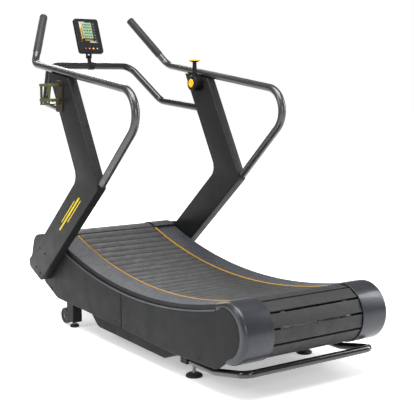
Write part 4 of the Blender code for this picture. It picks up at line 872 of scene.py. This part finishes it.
def upright_marks():
    """Plain slanted bars along the left upright's lower arm, in place of lettering."""
    normal = np.array([-DOWN[1], DOWN[0]])
    rows = [(POST_FACE - 0.0003, 0.0), (POST_FACE + 0.0004, 0.0), (POST_FACE + 0.0005, 0.0004)]
    surfaces = []
    bars = ((0.180, 0.290, 0.070, 0.011), (0.235, 0.190, 0.090, 0.006), (0.180, 0.190, 0.054, 0.006))
    for start, length, rise, width in bars:
        corner = KNEE + DOWN * start + normal * rise
        slant = DOWN * width * 0.8
        end, across = corner + DOWN * length, normal * width
        quad = [corner, end, end + across + slant, corner + across + slant]
        surfaces.append(panel_surface(np.array(quad), rows, -1))
    marks = joined("upright_marks", surfaces, angle=30)
    place_piece(marks, ROOT, (), FINISH["mark"], "accent")


def rail_path(side):
    x = side * (POST_X + POST_THICKNESS / 2)
    start = (x, KNEE[0] - 0.004, KNEE[1] + 0.022)
    tip = (side * GRIP_TIP[0], GRIP_TIP[1], GRIP_TIP[2])
    corners = [(start, 0), ((x, *RAIL_BACK), 0.115), ((x, *RAIL_FRONT), 0.090), (tip, 0)]
    return rounded_path(corners, 26) + SHIFT


def handrails():
    """Bent tubes, and foam grips with a rim at both ends."""
    for word, side in SIDES:
        path = rail_path(side)
        rail = tube_piece(f"handrail_{word}_tube", path, RAIL_RADIUS, 36)
        place_piece(rail, ROOT, [f"handrail_{word}"], FINISH["handrail"], "handrail")
        axis = unit(path[-1] - path[-2])
        tip, radius, length = path[-1], GRIP_RADIUS, 0.270
        profile = [(RAIL_RADIUS + 0.0002, 0.0), (radius - 0.002, 0.0), (radius, -0.002)]
        profile += [
            (radius, -0.010), (radius - 0.0012, -0.0112), (radius - 0.0012, -0.0128),
            (radius, -0.014),
        ]
        profile += [(radius, 0.012 - length), (radius - 0.001, 0.006 - length), (radius - 0.003, -length)]
        profile += [(RAIL_RADIUS + 0.0002, -length), (RAIL_RADIUS + 0.0002, 0.0)]
        sleeve = lathe_piece(f"grip_{word}_sleeve", profile, tip, axis, 40)
        place_piece(sleeve, ROOT, [f"grip_{word}"], FINISH["grip"], "black_rubber")
        plug = [
            (radius - 0.001, 0.0004), (radius - 0.001, 0.003), (radius - 0.0025, 0.005),
            (radius - 0.008, 0.0058),
        ]
        end = lathe_piece(f"grip_plug_{word}_end", plug, tip, axis, 40)
        place_piece(end, ROOT, [f"grip_plug_{word}"], FINISH["black"], "black_rubber")


def crossbar():
    """Bent tube between the uprights that carries the console."""
    corners = []
    for side, order in ((-1, 1), (1, -1)):
        ends = [((0.408, 0.270, 1.115), 0), ((0.357, 0.604, 1.150), 0.075), ((0.250, 0.775, 1.345), 0.085)]
        corners += [((side * x, y, z), radius) for (x, y, z), radius in ends[::order]]
    bar = tube_piece("crossbar_tube", rounded_path(corners, 22) + SHIFT, BAR_RADIUS, 32)
    place_piece(bar, ROOT, ["crossbar"], FINISH["black_tube"], "black_plastic")


def lift_handle():
    corners = [
        ((-0.3435, -0.7453, 0.0785), 0), ((-0.3435, -0.930, 0.0785), 0.08),
        ((-0.3435, -1.135, 0.118), 0.045),
    ]
    corners += [((-place[0], *place[1:]), radius) for place, radius in corners[::-1]]
    handle = tube_piece("lift_handle_tube", rounded_path(corners, 20) + SHIFT, HANDLE_RADIUS, 28)
    place_piece(handle, ROOT, ["lift_handle"], FINISH["handle"], "handrail")


# ================================================================ console
FACE_UP = np.array([0.0, math.sin(CONSOLE_TILT), math.cos(CONSOLE_TILT)])
FACE_OUT = np.array([0.0, -math.cos(CONSOLE_TILT), math.sin(CONSOLE_TILT)])
ACROSS = np.array([1.0, 0.0, 0.0])
FACE_HALF_WIDTH, FACE_HALF_HEIGHT, FACE_DEPTH = 0.075, 0.1025, 0.024


def on_face(across, along, depth=0.0):
    """A place on the console's face, measured across it, up it and out of it."""
    return at(0.0, 0.790, 1.513) + ACROSS * across + FACE_UP * along + FACE_OUT * depth


def face_slab(width, height, radius, rows, across=0.0, along=0.0):
    """A rounded rectangle lying on the console's face; rows are (height above it, inset)."""
    return slab_surface(
        rounded_rect(width, height, radius), rows, on_face(across, along), ACROSS, FACE_UP,
        FACE_OUT,
    )


def console_body():
    """Moulded case: a rounded slab with rolled edges and a raised bezel round a sunken face."""
    t = np.linspace(0, math.pi / 2, 6)
    rows = [(-FACE_DEPTH, 0.007), (-FACE_DEPTH + 0.002, 0.003), (-FACE_DEPTH + 0.005, 0.0)]
    rows += [(-0.005 + 0.005 * math.sin(a), 0.005 - 0.005 * math.cos(a)) for a in t]
    rows += [(0.0, 0.0070), (-0.0010, 0.0078)]
    surfaces = [face_slab(2 * FACE_HALF_WIDTH, 2 * FACE_HALF_HEIGHT, 0.014, rows)]
    ear = on_face(0.0, -FACE_HALF_HEIGHT + 0.018, -FACE_DEPTH - 0.009)
    surfaces.append(box_surface(ear, (ACROSS, FACE_UP, FACE_OUT), (0.008, 0.009, 0.0125), 0.003))
    case = joined("console_case", surfaces, angle=38)
    place_piece(case, "console", ["console_housing"], FINISH["black"], "black_plastic")


def console_face():
    """What shows on the face: display, colour bars, key legends and the ring round each button."""
    low = FACE_HALF_HEIGHT - 0.018 - 0.128
    glass = face_slab(
        0.098, 0.128, 0.004, [(-0.0012, 0.0), (-0.0003, 0.0), (0.0, 0.0006)], 0.0, low + 0.064,
    )
    place_piece(
        mesh_piece("console_glass", *glass), "console", ["console_screen"], FINISH["glass"],
        "screen",
    )
    lcd = face_slab(
        0.062, 0.094, 0.002, [(-0.0004, 0.0), (0.0005, 0.0), (0.0006, 0.0004)], -0.005, low + 0.074,
    )
    place_piece(mesh_piece("console_lcd", *lcd), "console", (), FINISH["lcd"], "screen")
    rows = [(-0.0003, 0.0), (0.0007, 0.0), (0.0009, 0.0003)]
    segments = []
    for row, count in enumerate((4, 6, 3, 6, 4)):
        for column in range(count):
            across = -0.005 + (column - (count - 1) / 2) * 0.052 / count
            segments.append(
                face_slab(0.032 / count, 0.0075, 0.0008, rows, across, low + 0.108 - row * 0.0172),
            )
    place_piece(joined("lcd_blocks", segments), "console", (), FINISH["lcd_mark"], "screen")
    bars = [face_slab(0.0030, 0.100, 0.0014, rows, -0.0430, low + 0.072)]
    place_piece(joined("console_side_bar", bars), "console", (), FINISH["amber"], "yellow_plastic")
    bars = [face_slab(0.046, 0.006, 0.002, rows, -0.004, low + 0.016)]
    place_piece(joined("console_low_bar", bars), "console", (), FINISH["dim_bar"], "yellow_plastic")
    rings, keys = [], []
    for index in range(7):
        place = on_face(0.0385, low + 0.014 + index * 0.0165)
        ring = [(0.0034, -0.0003), (0.0034, 0.0008), (0.0041, 0.0008), (0.0041, -0.0003), (0.0034, -0.0003)]
        rings.append(lathe_surface(ring, place, FACE_OUT, 24))
        keys.append(
            closed_lathe([(0.0031, -0.0003), (0.0031, 0.0004), (0.0024, 0.0007)], place, FACE_OUT, 20),
        )
    place_piece(joined("console_legend_rings", rings), "console", (), FINISH["dim_key"], "white_key")
    place_piece(joined("console_legend_keys", keys), "console", (), FINISH["black"], "black_plastic")


def closed_lathe(profile, place, axis, sides=32):
    profile = [(0.0, profile[0][1]), *profile, (0.0, profile[-1][1])]
    return lathe_surface(profile, place, axis, sides)


def console_buttons():
    """Round black keys in the well of the case, each with a small coloured dot set in its top."""
    finishes = ("red_key", "dim_key", "amber", "dim_key")
    slots = ("red_key", "white_key", "yellow_plastic", "white_key")
    rings = []
    for index, (finish, slot) in enumerate(zip(finishes, slots)):
        place = on_face((index - 1.5) * 0.024, -FACE_HALF_HEIGHT + 0.024)
        name, body = f"console_button_{index + 1}", f"button_{index + 1}"
        profile = [(0.0048, 0.0010), (0.0048, 0.0020), (0.0040, 0.0024), (0.0018, 0.0022)]
        key = mesh_piece(name + "_dot", *closed_lathe(profile, place, FACE_OUT), angle=50)
        place_piece(key, body, [name], FINISH[finish], slot)
        collar = [(0.0070, -0.0040), (0.0070, 0.0011), (0.0064, 0.0017), (0.0050, 0.0018), (0.0049, 0.0008)]
        collar = mesh_piece(name + "_key", *closed_lathe(collar, place, FACE_OUT), angle=50)
        place_piece(collar, body, (), FINISH["black"], "black_plastic")
        ring = [
            (0.0074, -0.002), (0.0074, 0.0002), (0.0080, 0.0005), (0.0092, 0.0004),
            (0.0096, -0.0012), (0.0074, -0.002),
        ]
        rings.append(lathe_surface(ring, place, FACE_OUT, 32))
    place_piece(joined("button_rings", rings), "console", (), FINISH["black"], "black_plastic")


def console_stem():
    """Curved post from the crossbar to a fork round the console's hinge ear, with its pin."""
    top = on_face(0.0, -FACE_HALF_HEIGHT + 0.018, -FACE_DEPTH - 0.014)
    foot = at(0.0, 0.775, 1.345)
    base = top - np.array([0.0, 0.0, 0.026])
    middle = (foot + base) / 2 + np.array([0.0, 0.004, 0.0])
    path = rounded_path([(foot, 0), (middle, 0.10), (base + np.array([0.0, 0.0, 0.004]), 0)], 10)
    surfaces = [tube_surface(path, 0.0105, 28)]
    low, high = BAR_RADIUS + 0.0010, BAR_RADIUS + 0.0024
    saddle = [(low, -0.017), (high, -0.0155), (high, 0.0155), (low, 0.017)]
    surfaces.append(closed_lathe(saddle, foot, (1, 0, 0), 40))
    axes = np.eye(3)
    surfaces.append(box_surface(top + np.array([0, 0.001, -0.025]), axes, (0.015, 0.009, 0.009), 0.003))
    for side in (-1, 1):
        surfaces.append(
            box_surface(
                top + np.array([side * 0.01225, 0.001, -0.0055]), axes, (0.00275, 0.009, 0.0145),
                0.002,
            ),
        )
    stem = joined("console_stem_post", surfaces, angle=40)
    place_piece(stem, ROOT, ["console_stem"], FINISH["black"], "black_plastic")
    pin = [
        (0.004, -0.0175), (0.0065, -0.0172), (0.0065, -0.0152), (0.004, -0.015), (0.004, 0.015),
        (0.0065, 0.0152),
    ]
    pin += [(0.0065, 0.0172), (0.004, 0.0175)]
    made = mesh_piece("console_pin", *closed_lathe(pin, top, (1, 0, 0), 24), angle=35)
    place_piece(made, ROOT, (), FINISH["black"], "black_plastic")


# ================================================================ brake lever
HUB = at(0.0, 0.262, 1.250)
HUB_RADIUS, HUB_DEPTH, LEVER_LENGTH = 0.0425, 0.046, 0.112


def hub_x(inwards):
    return np.array([POST_X - inwards, 0.0, 0.0])


def brake():
    """Hub, lever, knob and cap: turned pieces on the lever's axis and a tapered blade."""
    ribs = [(HUB_RADIUS, 0.0003)]
    for step in range(4):
        x = 0.001 + step * 0.0013
        ribs += [(HUB_RADIUS, x), (HUB_RADIUS - 0.0007, x + 0.0003), (HUB_RADIUS - 0.0007, x + 0.0009)]
    base = mesh_piece("brake_base", *closed_lathe(ribs, HUB + hub_x(0.0), (-1, 0, 0), 56), angle=30)
    place_piece(base, ROOT, ["brake_hub"], FINISH["black"], "black_plastic")
    near = 0.0068
    t = np.linspace(0, math.pi / 2, 7)
    drum = [(HUB_RADIUS - 0.002, near), (HUB_RADIUS - 0.0006, near + 0.001), (HUB_RADIUS, near + 0.002)]
    drum += [
        (HUB_RADIUS - 0.010 + 0.010 * math.cos(a), near + HUB_DEPTH - 0.010 + 0.010 * math.sin(a))
        for a in t
    ]
    drum += [(0.0245, near + HUB_DEPTH), (0.0240, near + HUB_DEPTH - 0.001)]
    middle = near + HUB_DEPTH / 2
    section = rounded_rect(0.016, 0.026, 0.0055, 6)
    path = np.linspace(HUB_RADIUS - 0.014, LEVER_LENGTH, 12)
    layers = []
    for z in path:
        share = (z - path[0]) / (path[-1] - path[0])
        flat = section * (1.12 - 0.22 * share)
        centre = HUB + hub_x(middle) + np.array([0, 0, z])
        layers.append(centre + np.column_stack([flat[:, 0], flat[:, 1], np.zeros(len(flat))]))
    count = len(section)
    faces = [tuple(f) for f in grid_faces(len(path), count, close_cols=True)]
    faces += [tuple(range(count)), tuple(range((len(path) - 1) * count, len(path) * count))]
    surfaces = [closed_lathe(drum, HUB + hub_x(0.0), (-1, 0, 0), 64), (np.concatenate(layers), faces)]
    lever = joined("brake_lever_body", surfaces, angle=40)
    place_piece(lever, "lever", ["brake_lever"], FINISH["black"], "black_plastic")
    cap = [(0.0225, 0.0), (0.0225, 0.0018), (0.0212, 0.0030), (0.0120, 0.0032), (0.0100, 0.0026)]
    made = mesh_piece(
        "hub_cap_disc", *closed_lathe(cap, HUB + hub_x(near + HUB_DEPTH), (-1, 0, 0), 48), angle=50,
    )
    place_piece(made, "lever", ["hub_cap"], FINISH["amber"], "yellow_plastic")
    knob_at = HUB + hub_x(middle) + np.array([0, 0, LEVER_LENGTH + 0.0003])
    skirt = [(0.0170, 0.0), (0.0185, 0.0015), (0.0300, 0.0070), (0.0300, 0.0088)]
    under = mesh_piece("lever_knob_underside", *closed_lathe(skirt, knob_at, (0, 0, 1), 48), angle=40)
    place_piece(under, "lever", (), FINISH["black"], "black_plastic")
    top = [(0.0300, 0.0088)] + [
        (0.0300 * math.cos(a) ** 0.55, 0.0088 + 0.0072 * math.sin(a))
        for a in t[1:-1]
    ]
    knob = mesh_piece("lever_knob_top", *closed_lathe(top, knob_at, (0, 0, 1), 48), angle=60)
    place_piece(knob, "lever", ["lever_knob"], FINISH["yellow"], "yellow_plastic")


# ================================================================ bottle cage
def bottle_cage():
    """Back plate, two hoops, slim ribs and a dished floor that hold a bottle; the plate is coloured darker brown
    than the hoops as painted shade.
    """
    face = -(POST_X + POST_THICKNESS + 0.0003)
    inner, wall = 0.044, 0.006
    x = face - 0.0045 - (inner + wall) + wall * 0.4
    axes = (np.array([0, 1.0, 0]), np.array([0, 0, 1.0]), np.array([-1.0, 0, 0]))
    plate = slab_surface(
        rounded_rect(0.068, 0.155, 0.010), [(-0.0018, 0.0), (0.0035, 0.0), (0.0045, 0.001)],
        at(face, 0.280, 1.1875), *axes,
    )
    plates = mesh_piece("cage_plate", *plate, angle=40)
    # Darker brown on the back plate: painted shade behind the hoops.
    place_piece(plates, ROOT, (), FINISH["cage_back_shade"], "black_plastic")
    surfaces = []
    hoop = [(inner, 0.001), (inner + 0.001, 0.0), (inner + wall - 0.0015, 0.0), (inner + wall, 0.0015)]
    hoop += [
        (inner + wall, 0.0125), (inner + wall - 0.0015, 0.014), (inner + 0.001, 0.014),
        (inner, 0.013), (inner, 0.001),
    ]
    for z in (1.162, 1.235):
        surfaces.append(lathe_surface(hoop, at(x, 0.280, z), (0, 0, 1), 64))
    for turn in np.radians((120, 180, 240)):
        out = np.array([math.cos(turn), math.sin(turn), 0.0])
        across = np.array([-out[1], out[0], 0.0])
        centre = at(x, 0.280, 1.1955) + out * (inner + wall / 2)
        surfaces.append(
            box_surface(centre, (out, across, np.array([0, 0, 1.0])), (0.0026, 0.005, 0.0495), 0.0015),
        )
    strip = at((x - inner - wall + face) / 2, 0.280, 1.149)
    surfaces.append(
        box_surface(strip, np.eye(3), ((face - x + inner + wall) / 2 - 0.001, 0.012, 0.003), 0.0015),
    )
    cage = joined("cage_hoops", surfaces, angle=40)
    place_piece(cage, ROOT, ["bottle_holder"], FINISH["cage"], "black_plastic")


# ================================================================ feet and wheels


def feet():
    """Levelling feet: a rubber pad with a rolled rim, a steel collar and a threaded stem."""
    for word, side in SIDES:
        for end in ("rear", "front"):
            name, body = f"{end}_foot_{word}", body_of_node(f"{end}_foot_{word}")
            low, high = (np.array(corner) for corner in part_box(name))
            place, radius, stem_top = (low + high) / 2, (high[1] - low[1]) / 2, high[2]
            place[2] = low[2]
            pad = [(radius - 0.0015, 0.0), (radius, 0.0015), (radius, 0.0048), (radius * 0.95, 0.0092)]
            pad += [(radius * 0.74, 0.0145), (radius * 0.46, 0.0174)]
            made = mesh_piece(name + "_pad", *closed_lathe(pad, place, (0, 0, 1), 40), angle=40)
            place_piece(made, body, [name], FINISH["rubber"], "black_rubber")
            thread = [(0.0110, 0.0165), (0.0110, 0.0190), (0.0072, 0.0194)]
            for step in range(int((stem_top - 0.022) / 0.0022)):
                z = 0.0210 + step * 0.0022
                thread += [(0.0062, z), (0.0070, z + 0.0008), (0.0070, z + 0.0012), (0.0062, z + 0.0020)]
            stem = mesh_piece(name + "_stem", *closed_lathe(thread, place, (0, 0, 1), 20), angle=30)
            place_piece(stem, body, (), FINISH["zinc"], "steel")


def wheels():
    """Transport wheels: a rounded tyre on a dished hub with six spokes pressed in, and an axle cap."""
    for word, side in SIDES:
        place, body, half = joint_place(f"wheel_{word}_spin"), f"wheel_{word}", 0.014
        t = np.linspace(-math.pi / 2, math.pi / 2, 9)
        tyre = [(0.0310, -half + 0.0015), (0.0355, -half + 0.0004)]
        tyre += [
            (0.0364 + 0.0045 * math.cos(a), (half - 0.0045) * np.sign(a) + 0.0045 * math.sin(a))
            for a in t if a
        ]
        tyre += [(0.0355, half - 0.0004), (0.0310, half - 0.0015), (0.0310, -half + 0.0015)]
        made = mesh_piece(f"{body}_tyre", *lathe_surface(tyre, place, (1, 0, 0), 56), angle=40)
        place_piece(made, body, [f"transport_wheel_{word}"], FINISH["rubber"], "black_rubber")
        hub = [(0.0066, -half), (0.0160, -half), (0.0170, -half + 0.0022), (0.0308, -half + 0.0040)]
        hub += [(r, -h) for r, h in hub[::-1]] + [hub[0]]
        surfaces = [lathe_surface(hub, place, (1, 0, 0), 40)]
        for turn in np.arange(6) * math.pi / 3:
            out = np.array([0.0, math.cos(turn), math.sin(turn)])
            axes = (out, np.cross((1, 0, 0), out), np.array([1.0, 0, 0]))
            surfaces.append(
                box_surface(place + out * 0.0225, axes, (0.0065, 0.0016, half - 0.0016), 0.0008),
            )
        made = joined(f"{body}_hub", surfaces, angle=35)
        place_piece(made, body, (), FINISH["wheel_hub"], "black_plastic")
        cap = [(0.0085, 0.0), (0.0085, 0.0014), (0.0050, 0.0026)]
        made = mesh_piece(
            f"{body}_axle_cap",
            *closed_lathe(cap, place + np.array([side * 0.0142, 0, 0]), (side, 0, 0), 24),
        )
        place_piece(made, ROOT, (), FINISH["zinc"], "steel")


# ================================================================ finishes for the rest
def lcd_finish():
    """Grey-green display with a faint grid of its elements."""
    paint = Paint("display_grey_green", 0.28)
    paint.colour(paint.ramp(paint.noise(30, 3), (0.140, 0.215, 0.125), (0.185, 0.265, 0.160), 0.3, 0.7))
    paint.rough(paint.noise(60, 3), 0.2, 0.34)
    paint.bump(paint.noise(700, 2), 0.06, 0.0002)
    return paint.made


FINISH.update({
    "post": powder_coat(
        "upright_powder_coat", (0.010, 0.0104, 0.0108), (0.05, 0.05, 0.05), 0.40, 0.1, 0.25, 0.16,
    ),
    "lcd": lcd_finish(),
    "lcd_mark": moulded_plastic("display_marks", (0.030, 0.034, 0.026), 0.4),
    "glass": gloss_paint("display_black_gloss", (0.010, 0.011, 0.012), (0.05, 0.05, 0.05), 0.12, 0.0, 0.8),
    "dim_key": moulded_plastic("dim_key", (0.20, 0.205, 0.21), 0.42, 900, 0.15),
    "dim_bar": moulded_plastic("dim_bar", (0.22, 0.12, 0.02), 0.42, 900, 0.15),
    "red_key": moulded_plastic("red_key", (0.34, 0.018, 0.014), 0.40, 900, 0.15),
    # Darker brown copy of the cage's olive tint: painted shade on the back plate.
    "cage_back_shade": moulded_plastic("cage_plate_painted_shade", (0.022, 0.016, 0.009), 0.38, 700, 0.2),
    "wheel_hub": moulded_plastic("wheel_hub_moulding", (0.030, 0.030, 0.031), 0.5),
})
KEPT = {
    "frame": ("side_frame_left", "side_frame_right", "front_leg_left", "front_leg_right",
              "cross_member_front", "cross_member_middle", "cross_member_rear"),
    "pan": ("belly_pan",),
    "steel": ("front_drum", "rear_drum", "brake_disc", "magnet_carrier", "front_bearing_left",
              "front_bearing_right", "rear_bearing_left", "rear_bearing_right"),
    "black": ("roller_track_left", "roller_track_right"),
}


def paint_kept():
    """Gives each CAD node that stays its finish, on its object's own material slot."""
    for finish, nodes in KEPT.items():
        for node in nodes:
            obj = frame["nodes"][node]
            if not obj.material_slots:
                obj.data.materials.append(None)
            for slot in obj.material_slots:
                slot.link = "OBJECT"
                slot.material = FINISH[finish]


# ================================================================ stage
GLOW_START, GLOW_END = 2.2, 7.0             # distances between which the floor's glow rises
GLOW_LOW, GLOW_HIGH = 0.42, 0.95


def studio_floor():
    """Large round pale floor: rings of radius r at z = 0, glowing more with distance, with no wall behind."""
    u = np.linspace(0, 2 * math.pi, 64, endpoint=False)
    ring = np.column_stack([np.cos(u), np.sin(u), np.zeros(64)])
    verts = np.concatenate([ring * radius for radius in (30.0, 6.0, 1.5)])
    faces = [tuple(f) for f in grid_faces(3, 64, close_cols=True)] + [tuple(range(128, 192))]
    floor = mesh_piece("studio_floor", verts, faces, angle=60)
    paint = Paint("studio_paper", 0.75)
    paint.colour(paint.ramp(paint.noise(0.8, 3), (0.86, 0.86, 0.86), (0.89, 0.89, 0.89)))
    paint.bump(paint.noise(60, 3), 0.02, 0.001)
    away = paint.node("ShaderNodeVectorMath", operation="LENGTH")
    paint.link(paint.coords.outputs["Object"], away.inputs[0])
    glow = paint.node("ShaderNodeMapRange")
    for index, value in ((1, GLOW_START), (2, GLOW_END), (3, GLOW_LOW), (4, GLOW_HIGH)):
        glow.inputs[index].default_value = value
    paint.link(away.outputs["Value"], glow.inputs[0])
    paint.link(glow.outputs[0], paint.shader.inputs["Emission Strength"])
    paint.shader.inputs["Emission Color"].default_value = (1, 1, 1, 1)
    floor.data.materials.append(paint.made)


def area_light(name, place, target, size, power, colour=(1, 1, 1)):
    data = bpy.data.lights.new(name, "AREA")
    data.shape = "RECTANGLE"
    data.size, data.size_y = size
    data.energy = power
    data.color = colour
    light = bpy.data.objects.new(name, data)
    light.location = place
    light.rotation_euler = (Vector(target) - Vector(place)).to_track_quat("-Z", "Y").to_euler()
    bpy.context.scene.collection.objects.link(light)


def lights():
    """White surround, a soft key overhead, a side box each side, a fill behind and one in front."""
    world = bpy.data.worlds.new("studio")
    world.use_nodes = True
    tree = world.node_tree
    seen = tree.nodes.new("ShaderNodeLightPath")
    strength = tree.nodes.new("ShaderNodeMapRange")
    strength.inputs[3].default_value, strength.inputs[4].default_value = 0.20, 1.0
    tree.links.new(seen.outputs["Is Camera Ray"], strength.inputs[0])
    tree.nodes["Background"].inputs["Color"].default_value = (1, 1, 1, 1)
    tree.links.new(strength.outputs[0], tree.nodes["Background"].inputs["Strength"])
    bpy.context.scene.world = world
    area_light("key_overhead", (-0.6, -0.8, 4.4), (0.0, 0.0, 0.4), (3.6, 3.0), 330)
    area_light("side_box_left", (-4.0, 0.6, 2.6), (0.0, 0.2, 0.9), (1.0, 2.0), 70)
    area_light("side_box_right", (3.6, -2.0, 2.2), (0.0, 0.0, 0.8), (1.2, 2.6), 120)
    area_light("rear_fill", (-2.0, -4.6, 1.9), (0.0, -0.7, 0.3), (1.6, 1.2), 60)
    area_light("back_box", (1.0, 4.6, 3.2), (0.0, 0.0, 0.9), (3.4, 1.6), 130)


CAMERA_PLACE = (-2.4628, -3.8326, 1.265)
CAMERA_DOWN, CAMERA_TURN = 7.62, -34.70     # degrees below level, and round from +Y
CAMERA_LENS, CAMERA_SENSOR = 82.3, 36.0


def camera():
    data = bpy.data.cameras.new("camera")
    data.lens, data.sensor_width = CAMERA_LENS, CAMERA_SENSOR
    made = bpy.data.objects.new("camera", data)
    made.location = CAMERA_PLACE
    made.rotation_euler = (math.radians(90 - CAMERA_DOWN), 0.0, math.radians(CAMERA_TURN))
    bpy.context.scene.collection.objects.link(made)
    bpy.context.scene.camera = made
    bpy.context.scene.view_settings.view_transform = "Standard"


def build():
    slat_belt()
    drive_belts()
    slat_fixings()
    side_covers()
    end_caps()
    foot_rails()
    accent_strips()
    screws()
    uprights()
    upright_marks()
    handrails()
    crossbar()
    lift_handle()
    console_body()
    console_face()
    console_buttons()
    console_stem()
    brake()
    bottle_cage()
    feet()
    wheels()
    paint_kept()


build()
studio_floor()
lights()
camera()
